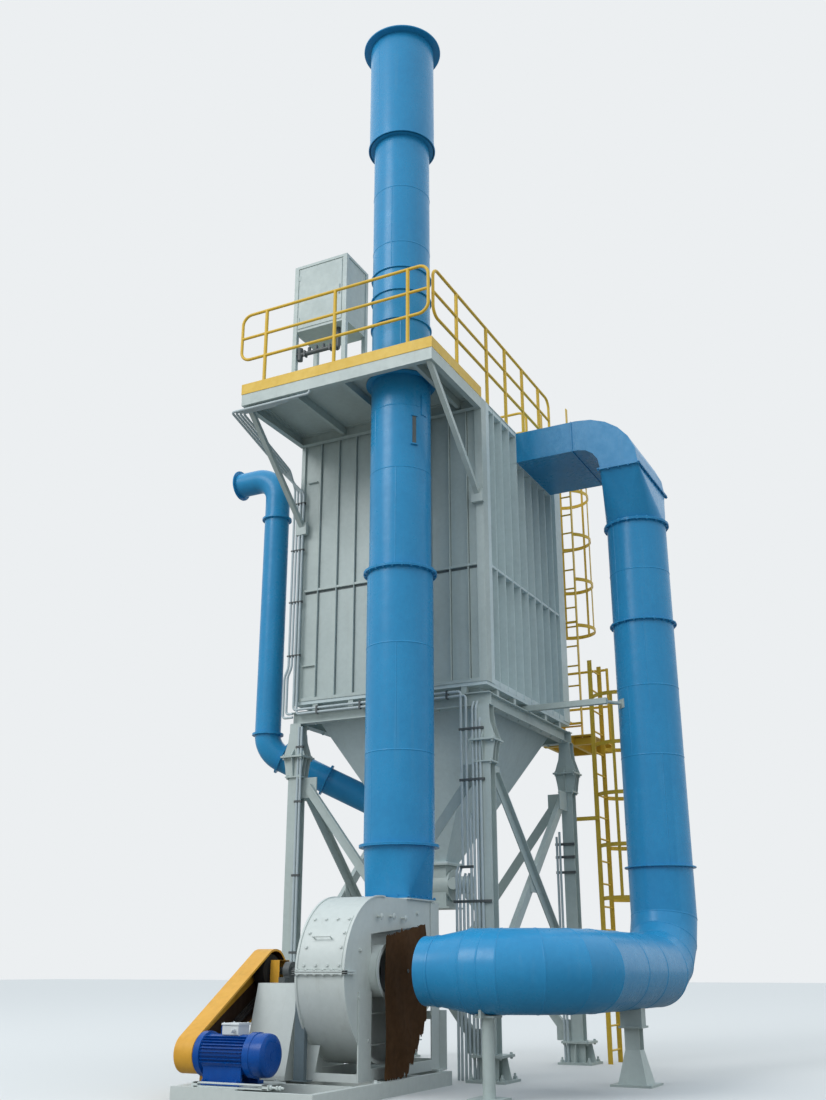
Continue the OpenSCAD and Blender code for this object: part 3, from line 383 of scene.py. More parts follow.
piece("housing_front_panel", front_wall, "grey_paint", ["housing_front_wall"])
shadow = painted("grey_paint_in_shade", "#5c6566", "#4b5354", 0.6, dust_share=0.04)
# Painted shade: thin dark strips on the panel beside each upright bar and just under the bar
# across.
painted_shade_line = brick((-0.012, panel_y - 0.0006, wall_z0 + 0.045),
                  (0.012, panel_y + 0.0004, wall_z1 - 0.025))
painted_shade_strips = [copies(painted_shade_line, uprights), brick(
    (wall_x0 + 0.105, panel_y - 0.0007, 5.565), (wall_x1 - 0.105, panel_y + 0.0004, 5.594))]
piece("panel_joint_painted_shade", painted_shade_strips, "grey_paint", material=shadow)


# Cable conduits. Pale steel tubes come down the left front corner, some of them
# turn along the ring beam, and more stand beside the front columns and the rear
# right one. They are held by small strap clamps on short rails.
def unit(vectors):
    """Each row at length 1."""
    return vectors / np.linalg.norm(vectors, axis=1)[:, None]


def swept(path, radius, sides=12):
    """Round bar along a line of points: each circle lies in the plane that halves the corner."""
    path = np.asarray(path, float)
    legs = unit(np.diff(path, axis=0))
    w = unit(np.vstack([legs[:1], legs[:-1] + legs[1:], legs[-1:]]))
    ref = np.array((0.31, 0.47, 0.83))
    u = unit(ref - (w @ ref)[:, None] * w)
    v = np.cross(w, u)
    t = circle(sides)[None, :, None]
    return skin(path[:, None] + radius * (np.cos(t) * u[:, None] + np.sin(t) * v[:, None]))


def rounded(points, bend):
    """Broken line with rounded corners: (1-t)^2 A + 2t(1-t) P + t^2 B, where A and B lie a
    bend's length either side of the corner P."""
    points = np.asarray(points, float)
    legs = unit(np.diff(points, axis=0))
    t = np.linspace(0, 1, 7)[None, :, None]
    p, a, b = points[1:-1], points[1:-1] - bend * legs[:-1], points[1:-1] + bend * legs[1:]
    arcs = (1 - t) ** 2 * a[:, None] + 2 * t * (1 - t) * p[:, None] + t ** 2 * b[:, None]
    return np.vstack([points[:1], arcs.reshape(-1, 3), points[-1:]])


conduit_r = 0.0155
tube_y = -1.430
rear_y = 1.265
foot_z = 0.010
corner_x = [-1.372 + 0.046 * k for k in range(4)]
runs = []
for k, x in enumerate(corner_x):
    top_x, out_x, out_y = -0.85 + 0.17 * k, -1.355 - 0.038 * k, -2.690 - 0.028 * k
    path = [(top_x, out_y, 7.66), (top_x, out_y, 7.585), (out_x, out_y, 7.585),
            (out_x, tube_y - 0.17, 7.24), (x, tube_y, 7.04 - 0.03 * k)]
    if k < 2:
        z = 3.985 + 0.045 * k
        path += [(x, tube_y, 4.62), (x - 0.055, tube_y, 4.50), (x - 0.055, tube_y, z),
                 (-1.285, tube_y, z)]
    else:
        z, end_x = 4.075 - 0.052 * (k - 2), 0.985 + 0.062 * (k - 2)
        path += [(x, tube_y, z), (end_x, tube_y, z), (end_x, tube_y, 2.13)]
    runs.append(swept(rounded(path, 0.045), conduit_r))
for x, y, top in ((-1.185, tube_y, 3.86), (-1.145, tube_y, 3.86),
                  (1.105, rear_y - 0.040, 2.69), (1.145, rear_y - 0.040, 2.75)):
    runs.append(swept([(x, y, foot_z), (x, y, top)], conduit_r))
for x, top in ((0.905, 2.14), (0.945, 2.14), (0.990, 2.06), (1.035, 2.06), (1.085, 2.70),
               (1.125, 3.95), (1.170, 3.95), (1.215, 3.80)):
    path = [(x, tube_y, foot_z), (x, tube_y, top - 0.08), (x, tube_y + 0.05, top)]
    runs.append(swept(rounded(path, 0.03), conduit_r * 0.95))
pale_tube = painted("galvanised_conduit", "#bcc8cb", "#a9b6ba", 0.36)
piece("cable_conduits", runs, "grey_paint", material=pale_tube)

rail_at = (4.75, 5.45, 6.15, 6.80)
clamps = [(-1.400, -1.205, 0.014, 0.020, z, z + 0.035) for z in rail_at]
clamps += [(x - 0.020, x + 0.020, -0.019, 0.016, z + 0.008, z + 0.026)
           for z in rail_at for x in corner_x]
clamps += [(x, x + 0.026, -0.020, 0.025, 4.000, 4.098) for x in (-0.95, -0.35, 0.35, 0.80)]
clamps += [(x0, x1, -0.017, 0.022, z, z + 0.028) for x0, x1, z in (
    (0.87, 1.31, 0.85), (0.87, 1.31, 1.755), (0.955, 1.10, 2.115), (0.96, 1.26, 3.05),
    (0.96, 1.26, 3.62))]
clamps += [(-1.215, -1.115, -0.017, 0.022, z, z + 0.026) for z in (1.25, 2.10, 2.95, 3.60)]
straps = [brick((x0, tube_y + y0, z0), (x1, tube_y + y1, z1))
          for x0, x1, y0, y1, z0, z1 in clamps]
straps += [brick((1.075, rear_y - 0.024, z), (1.335, rear_y - 0.001, z + 0.032))
           for z in (2.23, 2.42, 2.58)]
piece("conduit_clamps", straps, "grey_paint", material=PAINTS["bare_steel"])

# Roof cabinet. A sheet door with two hinges and a handle closes the cabinet's
# front. Below it a dark header pipe for pulse air, with a valve at its end and
# small valve bodies along it, is clipped to the cabinet's legs.
pipe_y, pipe_z = -1.735, 8.840
pipe = [(-1.225, pipe_y, pipe_z), (-0.640, pipe_y, pipe_z), (-0.640, -1.640, pipe_z),
        (-0.640, -1.640, 9.170)]
end_cap = [(0.001, 0), (0.052, 0), (0.052, 0.055), (0.030, 0.070), (0.001, 0.070)]
valve = [(0.001, 0.02), (0.024, 0.02), (0.024, 0.075), (0.014, 0.088), (0.001, 0.088)]
header = [swept(rounded(pipe, 0.06), 0.030, 20),
          turned(end_cap, (-1.245, pipe_y, pipe_z), ALONG_X, 24),
          turned(rod(0.040, -0.085, 0.095), (-1.175, pipe_y, pipe_z), UP, 20)]
header += [turned(valve, (x, pipe_y, pipe_z), UP, 16) for x in (-1.03, -0.92, -0.81)]
header += [brick((x - 0.012, pipe_y - 0.040, pipe_z - 0.040),
                 (x + 0.012, pipe_y + 0.035, pipe_z + 0.040)) for x in (-1.090, -0.700)]
piece("pulse_air_header", header, "grey_paint", material=PAINTS["bare_steel"])

(cab_x0, cab_y, _), (cab_x1, _, cab_top) = box_of("roof_cabinet")
door_z0, door_z1 = 9.215, cab_top - 0.060
door = [brick((cab_x0 + 0.075, cab_y + 0.001, door_z0), (cab_x1 - 0.075, cab_y + 0.013, door_z1),
              0.003),
        brick((cab_x1 - 0.125, cab_y - 0.012, 9.60), (cab_x1 - 0.100, cab_y + 0.006, 9.74), 0.004)]
door += [brick((cab_x0 + 0.066, cab_y - 0.004, z), (cab_x0 + 0.096, cab_y + 0.013, z + 0.070),
               0.003) for z in (door_z0 + 0.10, door_z1 - 0.17)]
piece("cabinet_door", door, "grey_paint")


# Exhaust stack. Tubes of rolled sheet, welded up one side and round each joint,
# stand on a square-to-round foot. Bolted flanges join foot, lower tube, upper
# tube and the wider head with its rolled top ring.
def shell(r, z0, z1):
    """Profile of a straight tube wall."""
    return [(r - sheet_t, z0), (r, z0), (r, z1), (r - sheet_t, z1)]


def hoop(z, inner, outer, thick, bevel=0.002):
    """Profile of a flat ring from height z up, its outer corners eased."""
    return [(inner, z), (outer - bevel, z), (outer, z + bevel), (outer, z + thick - bevel),
            (outer - bevel, z + thick), (inner, z + thick)]


def weld(z, radius, width=0.012, proud=0.004):
    """Profile of a weld bead round a tube at height z."""
    side = radius + proud * 0.8
    return [(radius - 0.002, z - width), (side, z - width * 0.4), (radius + proud, z),
            (side, z + width * 0.4), (radius - 0.002, z + width)]


def polar(r, t, z):
    """Points at radius r and angle t round Z, at height z."""
    return np.column_stack([r * np.cos(t), r * np.sin(t), np.full(t.shape, z)])


def strip(centre, z0, z1, angles, front, back):
    """Upright strip on a tube: an arc at the front radius, backed by one at the back radius."""
    r = np.concatenate([np.broadcast_to(front, angles.shape), np.full(angles.shape, back)])
    t = np.concatenate([angles, angles[::-1]])
    return skin([polar(r, t, z) + centre for z in (z0, z1)])


def side_seam(centre, r, z0, z1, angle):
    """Long weld bead up a tube: a half-round strip 22 mm wide and 3 mm proud."""
    t = np.linspace(-1, 1, 7)
    bead = r - 0.002 + 0.005 * np.cos(t * np.pi / 2)
    return strip(centre, z0, z1, angle + t * 0.011 / r, bead, r - 0.005)


def patch(centre, r, z0, z1, angle, width, proud):
    """Curved plate on a tube, of the given width along the arc."""
    across = np.linspace(-0.5, 0.5, 9) * width / r
    return strip(centre, z0, z1, angle + across, r + proud, r - 0.004)


def flange_bolts(centre, z, radius, count, axis):
    """Bolts evenly round an upright tube at height z, their heads along the axis."""
    return bolts(polar(radius, circle(count), z) + centre, axis, 0.022, 0.010)


lower_low, lower_high = box_of("stack_lower")
stack = (lower_low + lower_high) / 2 * (1, 1, 0)
tube_r, neck_r, head_r = 0.378, 0.360, 0.425
sheet_t, flange_t = 0.010, 0.015
lap = 0.004  # how far a ring is let into its tube
tube_z0, tube_z1 = lower_low[2], lower_high[2]
seams = (3.27, 4.45)
lower = [turned(profile, stack) for profile in (
    shell(tube_r, tube_z0, tube_z1),
    hoop(tube_z0, tube_r - lap, tube_r + 0.050, flange_t),
    hoop(tube_z1 - flange_t, tube_r - lap, tube_r + 0.045, flange_t),
    *[weld(z, tube_r) for z in seams])]
lower += [side_seam(stack, tube_r, *bead) for bead in (
    (tube_z0 + 0.02, seams[0], -2.0), (seams[0], seams[1], -1.2), (seams[1], tube_z1 - 0.02, -2.2))]
lower.append(flange_bolts(stack, tube_z1 - flange_t, tube_r + 0.026, 24, DOWN))
piece("stack_lower_tube", lower, "blue_paint", ["stack_lower"])

neck_z0, neck_z1 = [corner[2] for corner in box_of("stack_upper")]
rings_at = (8.515, 8.917, 9.238)
collar_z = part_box("housing_roof")[0][2] - 0.0203
seams = (6.55, 7.35, 9.62, 10.45)
upper = [turned(profile, stack) for profile in (
    shell(neck_r, neck_z0, neck_z1),
    hoop(neck_z0, neck_r - lap, tube_r + 0.045, flange_t),
    hoop(collar_z, neck_r - lap, tube_r + 0.047, 0.020),
    *[hoop(z, neck_r - lap, neck_r + 0.020, 0.020) for z in rings_at],
    *[weld(z, neck_r) for z in seams])]
upper += [side_seam(stack, neck_r, *bead) for bead in (
    (neck_z0 + 0.02, seams[0], -1.25), (seams[0], seams[1], -2.1), (7.82, rings_at[0], -1.1),
    (rings_at[2] + 0.02, seams[3], -1.45), (seams[3], neck_z1 - 0.01, -2.3))]
upper.append(flange_bolts(stack, neck_z0 + flange_t, tube_r + 0.026, 24, UP))
piece("stack_upper_tube", upper, "blue_paint", ["stack_upper"])

head_z0, head_z1 = [corner[2] for corner in box_of("stack_head")]
rim_t = 0.024
head = [turned(profile, stack) for profile in (
    shell(head_r, head_z0, head_z1),
    hoop(head_z0, neck_r - sheet_t, head_r - 0.002, 0.012),
    hoop(head_z0, head_r - lap, head_r + 0.015, rim_t),
    hoop(head_z1 - rim_t, head_r - lap, head_r + 0.095, rim_t, 0.006))]
head.append(side_seam(stack, head_r, head_z0 + 0.03, head_z1 - 0.03, -1.9))
piece("stack_head_shroud", head, "blue_paint", ["stack_head"])

# Stack plates. A curved doubler plate is welded on near the platform, and beside
# it is a narrow sampling slot between two lips, drawn as a thin plate in painted shade.
doubler = [patch(stack, neck_r, *plate) for plate in (
    (7.250, 7.510, -0.24, 0.085, 0.012), (6.835, 6.850, -0.64, 0.085, 0.022),
    (7.205, 7.218, -0.64, 0.075, 0.016))]
piece("stack_doubler_plate", doubler, "blue_paint")
# Painted shade: the slot is a thin dark plate standing for the shade inside it.
slot = patch(stack, neck_r, 6.850, 7.205, -0.64, 0.045, 0.006)
piece("stack_sampling_slot", [slot], "blue_paint", material=shadow)


# Stack foot. A welded transition leads from the fan's square mouth to the round
# stack. It ends in a bolted frame below and a bolted flange above.
def square_ring(half_x, half_y, z, count=96, bunch=1.0):
    """Points round a rectangle that pair with a circle's points, each quarter of them drawn
    toward its corner as bunch falls."""
    t = circle(count) + np.pi / count
    quarter = (np.floor(t / (np.pi / 2)) + 0.5) * np.pi / 2
    corner = np.arctan2(half_y * np.sign(np.sin(quarter)), half_x * np.sign(np.cos(quarter)))
    t = t if bunch == 1.0 else corner + bunch * (t - quarter)
    reach = np.minimum(half_x / np.maximum(np.abs(np.cos(t)), 1e-9),
                       half_y / np.maximum(np.abs(np.sin(t)), 1e-9))
    return polar(reach, t, z)


def round_ring(r, z, count=96):
    """Points round a circle at height z."""
    return polar(r, circle(count) + np.pi / count, z)


def square_to_round(centre, half_x, half_y, r, z_square, z_round):
    """Wall from a rectangle to a circle, of flat triangles and quarter cones."""
    rings = [square_ring(half_x, half_y, z_square, bunch=0.04), round_ring(r, z_round),
             round_ring(r - sheet_t, z_round),
             square_ring(half_x - sheet_t, half_y - sheet_t, z_square, bunch=0.04)]
    return skin(np.array(rings) + centre, wrap=True)


def square_frame(centre, inner, outer, z0, z1):
    """Flat frame between two rectangles, given by their half sides, from z0 up to z1."""
    corners = ((inner, z0), (outer, z0), (outer, z1), (inner, z1))
    return skin(np.array([square_ring(*half, z) for half, z in corners]) + centre, wrap=True)


def square_flange(centre, half_x, half_y, z, axis, count_x, count_y):
    """Bolted frame 12 mm thick from height z up, round a duct of the given half sides."""
    inner, outer = (half_x - 0.010, half_y - 0.010), (half_x + 0.030, half_y + 0.030)
    x, y, seat = half_x + 0.016, half_y + 0.016, z + 0.012 if axis == UP else z
    places = [(s * x, k * y, seat) for s in np.linspace(-1, 1, count_x) for k in (-1, 1)]
    places += [(k * x, s * y, seat) for s in np.linspace(-1, 1, count_y)[1:-1] for k in (-1, 1)]
    return [square_frame(centre, inner, outer, z, z + 0.012),
            bolts(np.array(places) + centre, axis, 0.024, 0.012)]


base_z = box_of("stack_foot")[0][2]
foot_x, foot_y = 0.250, 0.280
foot = [square_to_round(stack, foot_x, foot_y, tube_r, base_z + 0.002, tube_z0 - 0.002),
        turned(hoop(tube_z0 - flange_t, tube_r - lap, tube_r + 0.050, flange_t - 0.0002), stack),
        *square_flange(stack, foot_x, foot_y, base_z, UP, 5, 5)]
piece("stack_foot_transition", foot, "blue_paint", ["stack_foot"], crease=12)


# Gas ducts from the housing to the fan. Rolled sheet in straight lengths, with
# bends made of straight segments cut at an angle and welded edge to edge. Bolted
# flanges join the riser's lengths, and the bottom bend's seam is welded.
def duct_rings(path, radius, normal, sides=72):
    """Circles along a broken line: each square to its leg, then slid along it onto the plane
    that halves the corner."""
    path = np.asarray(path, float)
    legs = unit(np.diff(path, axis=0))
    before, after = np.vstack([legs[:1], legs]), np.vstack([legs, legs[-1:]])
    mitre = before + after
    u = np.asarray(normal, float)
    v = np.cross(before, u)
    t = circle(sides)[None, :, None]
    spoke = np.cos(t) * u + np.sin(t) * v[:, None]
    slide = -(spoke * mitre[:, None]).sum(-1) / (before * mitre).sum(-1)[:, None]
    rings = path[:, None] + radius * (spoke + slide[..., None] * before[:, None])
    return rings, before, after, spoke


def duct(path, radius, normal):
    """Closed wall of a mitred duct, with a bead of weld on each corner ring."""
    outer, before, after, spoke = duct_rings(path, radius, normal)
    inner = duct_rings(path, radius - sheet_t, normal)[0]
    shapes = [skin(np.concatenate([outer, inner[::-1]]), wrap=True)]
    for ring, b, a, out in zip(outer[1:-1], before[1:-1], after[1:-1], spoke[1:-1]):
        shapes.append(skin([
            ring - 0.012 * b - 0.002 * out, ring - 0.005 * b + 0.003 * out,
            ring + 0.005 * a + 0.003 * out, ring + 0.012 * a - 0.002 * out], wrap=True))
    return shapes


def bend_points(centre, start, end, radius, segments=4):
    """Corners of a right-angled bend: on rays at odd eighths of the angle, pushed out so that
    the legs touch the arc."""
    a = (np.arange(segments) + 0.5)[:, None] * np.pi / 2 / segments
    far = radius / np.cos(np.pi / 4 / segments)
    return centre + far * (np.cos(a) * start + np.sin(a) * end)


duct_r, collar = 0.370, 0.040
bolt_r = duct_r + 0.021
bend_r, side_r = 0.70, 0.75
run_x, run_y, run_z = box_of("suction_duct")[0]
shaft_y, shaft_z = run_y + duct_r, run_z + duct_r
riser_high = box_of("main_riser")[1]
riser_x, riser_y = riser_high[:2] - duct_r - collar
riser_top = riser_high[2]
riser_at = np.array((riser_x, riser_y, 0))
joint = (riser_x, riser_y - bend_r, shaft_z)
foot_bend = bend_points((riser_x, riser_y - bend_r, shaft_z + bend_r), ALONG_Y, DOWN, bend_r)
riser = duct(np.vstack([(riser_x, riser_y, riser_top), foot_bend, joint]), duct_r, ALONG_X)
ring_z = (riser_top - flange_t, 5.085, shaft_z + bend_r + 0.410)
riser += [turned(hoop(z, duct_r - lap, duct_r + collar, flange_t), riser_at) for z in ring_z]
riser += [turned(weld(z, duct_r), riser_at) for z in (3.45, 4.28, 5.75)]
riser += [side_seam(riser_at, duct_r, *bead) for bead in (
    (2.2, 3.45, -1.0), (3.45, 4.28, -2.0), (4.28, 5.07, -1.3), (5.1, 6.38, -2.2))]
riser += [flange_bolts(riser_at, z, bolt_r, 20, DOWN) for z in ring_z[:2]]
riser.append(flange_bolts(riser_at, ring_z[1] + flange_t, bolt_r, 20, UP))
piece("main_riser_duct", riser, "blue_paint", ["main_riser"], crease=14)

side_centre = (riser_x - side_r, shaft_y + side_r, shaft_z)
side_bend = bend_points(side_centre, ALONG_X, (0, -1, 0), side_r)
run = duct(np.vstack([joint, side_bend, (run_x, shaft_y, shaft_z)]), duct_r, UP)
run += [turned(weld(0, duct_r), place, axis) for place, axis in (
    ((riser_x, -0.95, shaft_z), ALONG_Y), ((riser_x, -1.62, shaft_z), ALONG_Y),
    ((1.955, shaft_y, shaft_z), ALONG_X))]
piece("suction_run", run, "blue_paint", ["suction_duct"], crease=14)

cone_low, cone_high = box_of("suction_reducer")
cone_len = cone_high[0] - cone_low[0]
small_r, straight = 0.308, 0.130
reducer_wall = [(small_r - sheet_t, 0), (small_r, 0), (small_r, straight), (duct_r, cone_len),
                (duct_r - sheet_t, cone_len), (small_r - sheet_t, straight)]
reducer = [turned(profile, (cone_low[0], shaft_y, shaft_z), ALONG_X) for profile in (
    reducer_wall, hoop(straight - 0.010, small_r - lap, small_r + 0.008, 0.024, 0.004),
    weld(cone_len - 0.004, duct_r))]
piece("suction_cone", reducer, "blue_paint", ["suction_reducer"], crease=14)

turn_low, turn_high = box_of("outlet_duct")
rib = 0.030
mouth_x, mouth_y = turn_high[0] - riser_x - rib, (turn_high[1] - turn_low[1]) / 2 - rib
riser_end = riser_top + flange_t
transition = [square_to_round(riser_at, mouth_x, mouth_y, duct_r, turn_low[2] - 0.001, riser_end),
              turned(hoop(riser_top + 0.0005, duct_r - lap, duct_r + collar, 0.0145), riser_at),
              *square_flange(riser_at, mouth_x, mouth_y, turn_low[2] - 0.0125, DOWN, 5, 9),
              flange_bolts(riser_at, riser_end, bolt_r, 20, UP)]
piece("outlet_transition_duct", transition, "blue_paint", ["outlet_transition"], crease=14)

seam_x, seam_w, duct_tall = 2.07, 0.012, 0.415
duct_y0, duct_y1, duct_top = turn_low[1] + rib, turn_high[1] - rib, turn_high[2]
duct_base = duct_top - duct_tall
seam = [brick((seam_x, y0, duct_base - seam_w), (seam_x + seam_w, y1, top)) for y0, y1, top in (
    (duct_y0 - seam_w, duct_y0 + 0.002, duct_top), (duct_y1 - 0.002, duct_y1 + seam_w, duct_top),
    (duct_y0, duct_y1, duct_base + 0.002))]
piece("outlet_duct_seam", seam, "blue_paint")

# Riser stay. A bar from the housing's corner ends in a short arm that is welded
# to a curved pad on the side of the riser.
(stay_x, _, stay_z), _ = box_of("riser_stay")
arm_z = stay_z + 0.035
arm = [brick((stay_x, -0.165, stay_z), (2.305, -0.095, stay_z + 0.070)),
       swept([(2.265, -0.130, arm_z), (riser_x - 0.262, riser_y - 0.268, arm_z)], 0.020),
       patch(riser_at, duct_r, stay_z - 0.020, stay_z + 0.090, -2.35, 0.120, 0.010)]
piece("riser_stay_arm", arm, "grey_paint", ["riser_stay"])

# Fan casing. Two flat side plates and a rolled scroll of 8 mm sheet, parted at
# shaft height by a bolted flange. It has a bolted access door with a bar handle
# in front, and a recessed right side round the inlet cone.
GROWTH = 0.45
SPIRAL = np.radians(270)


def scroll_reach(angle, inset=0.0):
    """Distance from shaft to scroll: top + growth (angle / 270 degrees)^3, then the flat top
    and back of the outlet."""
    turn = np.mod(angle, 2 * np.pi)
    spiral = scroll_top + GROWTH * (turn / SPIRAL) ** 3.0
    flat = np.minimum(scroll_top / np.maximum(np.cos(turn), 1e-9),
                      (scroll_top + GROWTH) / np.maximum(-np.sin(turn), 1e-9))
    return np.where(turn <= SPIRAL, spiral, flat) - inset


def box_reach(angle, front, back, low, high):
    """Distance from shaft to a window round it, along each ray; the window's top edge falls
    94 mm a metre toward the front."""
    ahead, up = np.sin(angle), np.cos(angle)
    sides = np.where(ahead > 0, front / np.maximum(ahead, 1e-9), back / np.maximum(-ahead, 1e-9))
    rise = up + 0.094 * ahead
    ends = np.where(rise > 0, high / np.maximum(rise, 1e-9), low / np.maximum(-up, 1e-9))
    return np.minimum(sides, ends)


def on_casing(x, angle, reach):
    """Points at the given reach from the shaft, angle from the top toward the front."""
    angle, reach = np.broadcast_arrays(angle, reach)
    return np.stack([np.full(angle.shape, x), shaft_y - reach * np.sin(angle),
                     shaft_z + reach * np.cos(angle)], -1)


def scroll_strip(angles, x0, x1, sunk, proud):
    """Plate that follows the scroll between two x, from sunk inside it to proud of it."""
    edges = ((x0, sunk), (x1, sunk), (x1, -proud), (x0, -proud))
    return skin(np.stack([on_casing(x, angles, scroll_reach(np.maximum(angles, 0), inset))
                          for x, inset in edges], 1))


case_low, case_high = box_of("fan_casing")
plate_t = 0.008
fan_x = case_low[0] + 0.030
fan_right = fan_x + 0.500
eye_x = fan_right - 0.100
mouth_t = 0.014
scroll_top = case_high[2] - mouth_t - shaft_z
ahead, behind, below, above = window_sides = (0.19, 0.87, 0.82, 0.348)
corners = [np.arctan2(h, v) for h, v in (
    (ahead, above - 0.018), (ahead, -below), (-behind, -below), (-behind, above + 0.082),
    (-(scroll_top + GROWTH), scroll_top), (-(scroll_top + GROWTH), 0.0))]
rays_at = np.unique(np.round(np.concatenate([circle(180), np.mod(corners, 2 * np.pi)]), 6))
rim = scroll_reach(rays_at)
inside = rim - plate_t
window = np.minimum(box_reach(rays_at, *window_sides), rim - 0.03)
eye_r, bore_r = 0.235, 0.045
casing = [skin([on_casing(x, rays_at, reach) for x, reach in (
    (fan_x, rim), (fan_right, rim), (fan_right, window), (fan_right - plate_t, window),
    (fan_right - plate_t, inside), (eye_x, inside), (eye_x, eye_r), (eye_x - plate_t, eye_r),
    (eye_x - plate_t, inside), (fan_x + plate_t, inside), (fan_x + plate_t, bore_r),
    (fan_x, bore_r))], wrap=True)]
front = np.radians(np.linspace(-6, 176, 92))
casing += [scroll_strip(front, x0, x1, 0.004, 0.010) for x0, x1 in (
    (fan_x - 0.012, fan_x + plate_t), (fan_right - plate_t, fan_right + 0.012))]
cone = [(0.225, -0.02), (eye_r, -0.02), (eye_r, 0.17), (0.262, 0.20), (0.262, 0.206),
        (0.225, 0.206)]
casing.append(turned(cone, (eye_x, shaft_y, shaft_z), ALONG_X))
door_arc = np.radians(np.linspace(45, 89, 24))
casing.append(scroll_strip(door_arc, fan_x + 0.055, fan_x + 0.475, 0.002, 0.005))

door_bolts = [(x, a) for a in (49, 86) for x in (0.08, 0.203, 0.327, 0.45)]
door_bolts += [(x, a) for a in (61.5, 73) for x in (0.08, 0.45)]
for x, degrees in door_bolts:
    a = np.radians(degrees)
    seat = on_casing(fan_x + x, a, scroll_reach(a, -0.004))
    casing.append(bolts([seat], (0, -np.sin(a), np.cos(a)), 0.026, 0.012))
grip = np.radians(66)
out = np.array((0, -np.sin(grip), np.cos(grip)))
grip_ends = [on_casing(fan_x + x, grip, scroll_reach(grip)) for x in (0.15, 0.33)]
casing += [turned(rod(0.007, 0, 0.050), end, out, 12) for end in grip_ends]
casing.append(turned(rod(0.007, -0.007, 0.187), grip_ends[0] + 0.046 * out, ALONG_X, 12))

waist, lip, lip_t = shaft_z - 0.030, 0.035, 0.016
lip_y = shaft_y - scroll_reach(np.radians(90)) - 0.030
for z in (waist, waist + 0.020):
    casing += [brick((x0, lip_y, z), (x1, lip_y + long, z + lip_t)) for x0, x1, long in (
        (fan_x - lip, fan_right + lip, 0.040), (fan_x - lip, fan_x, 0.200),
        (fan_right, fan_right + lip, 0.200))]
waist_x = np.linspace(fan_x + 0.02, fan_right - 0.02, 6)
casing += [bolts([(x, lip_y + 0.014, z) for x in waist_x], axis, 0.022, 0.010)
           for z, axis in ((waist + 0.020 + lip_t, UP), (waist, DOWN))]
side_places = [(fan_right, y, z) for y, z in (
    (-3.37, 1.25), (-3.39, 0.84), (-3.22, 0.47), (-2.2, 1.62))]
casing.append(bolts(side_places, ALONG_X, 0.030, 0.018))
knob = [(0.008, 0), (0.030, 0.006), (0.030, 0.014), (0.008, 0.020)]
for y, z in ((-3.04, 1.56), (-2.79, 1.57), (-2.54, 1.56)):
    casing.append(turned(rod(0.011, 0, 0.045), (fan_right, y, z), ALONG_X, 14))
    casing.append(turned(knob, (fan_right + 0.040, y, z), ALONG_X, 18))
casing += [brick((eye_x, shaft_y - 0.18, z), (fan_right - 0.010, shaft_y + 0.90, z + 0.010))
           for z in (0.42, 0.69)]
casing.append(square_frame(
    stack, (0.232, 0.262), (0.278, 0.308), case_high[2] - mouth_t, case_high[2] - 0.0002))
piece("fan_casing_scroll", casing, "pale_paint", ["fan_casing"], crease=28)

# Fan frame. Plates of 14 mm steel stand on the skid either side of the casing.
# The front plate has a low window under the scroll, its left leg widens to the
# foot, and a cross beam ties the two rear legs together.
(_, front_at, sill_z), (_, back_at, _) = box_of("fan_frame")
frame_left, frame_right, frame_t = 0.296, 0.810, 0.014
foot_end = 0.900
hair = 0.0001  # keeps plates that touch from sharing a face
plates = []
for x, y in ((frame_left, front_at + frame_t + hair), (frame_right, front_at)):
    plates += [brick((x, y0, sill_z), (x + frame_t, y1, z1)) for y0, y1, z1 in (
        (y, shaft_y - 0.19 - hair, shaft_z - 0.18), (shaft_y - 0.19, -1.90, sill_z + 0.100),
        (-1.90 + hair, back_at - frame_t - hair, 1.740))]
front_edge = [
    (0.190, sill_z), (0.262, 0.640), (0.300, 0.640), (0.300, 0.430), (0.420, 0.430),
    (0.372, 0.200), (frame_right - hair, 0.200), (frame_right - hair, sill_z)]
plates.append(extruded(front_edge, 1, front_at, front_at + frame_t))
plates += [brick((x0, back_at - frame_t, z0), (x1, back_at, z1)) for x0, x1, z0, z1 in (
    (frame_left, frame_right - hair, sill_z, 0.230), (frame_left, frame_right - hair, 0.600, 0.680),
    (frame_right, foot_end, sill_z, 0.690))]
plates.append(brick(
    (frame_right + frame_t + hair, -1.90, sill_z),
    (foot_end, back_at - frame_t - hair, sill_z + frame_t)))
piece("fan_frame_plates", plates, "pale_paint", ["fan_frame"])

# Frame post and skid bolts. A dark steel post stands beside the frame's front
# left leg. Bolts hold the pedestal and the frame's feet to the skid.
skid_top = 0.130
post = [brick((0.215, -3.520, skid_top + hair), (0.325, -3.462, 1.170), 0.004),
        brick((0.190, -3.535, skid_top), (0.350, -3.400, skid_top + 0.008))]
weathered = painted("weathered_grey_paint", "#66757b", "#55636a", 0.45, dust_share=0.2)
piece("frame_side_post", post, "pale_paint", material=weathered)
feet = [(x, y, skid_top + hair) for x, y in (
    (-0.30, -3.55), (0.06, -3.55), (0.95, -3.30), (0.95, -2.0), (-0.38, -3.35), (-0.38, -2.55))]
piece("skid_bolts", [bolts(feet, UP, 0.030, 0.018)], "pale_paint")

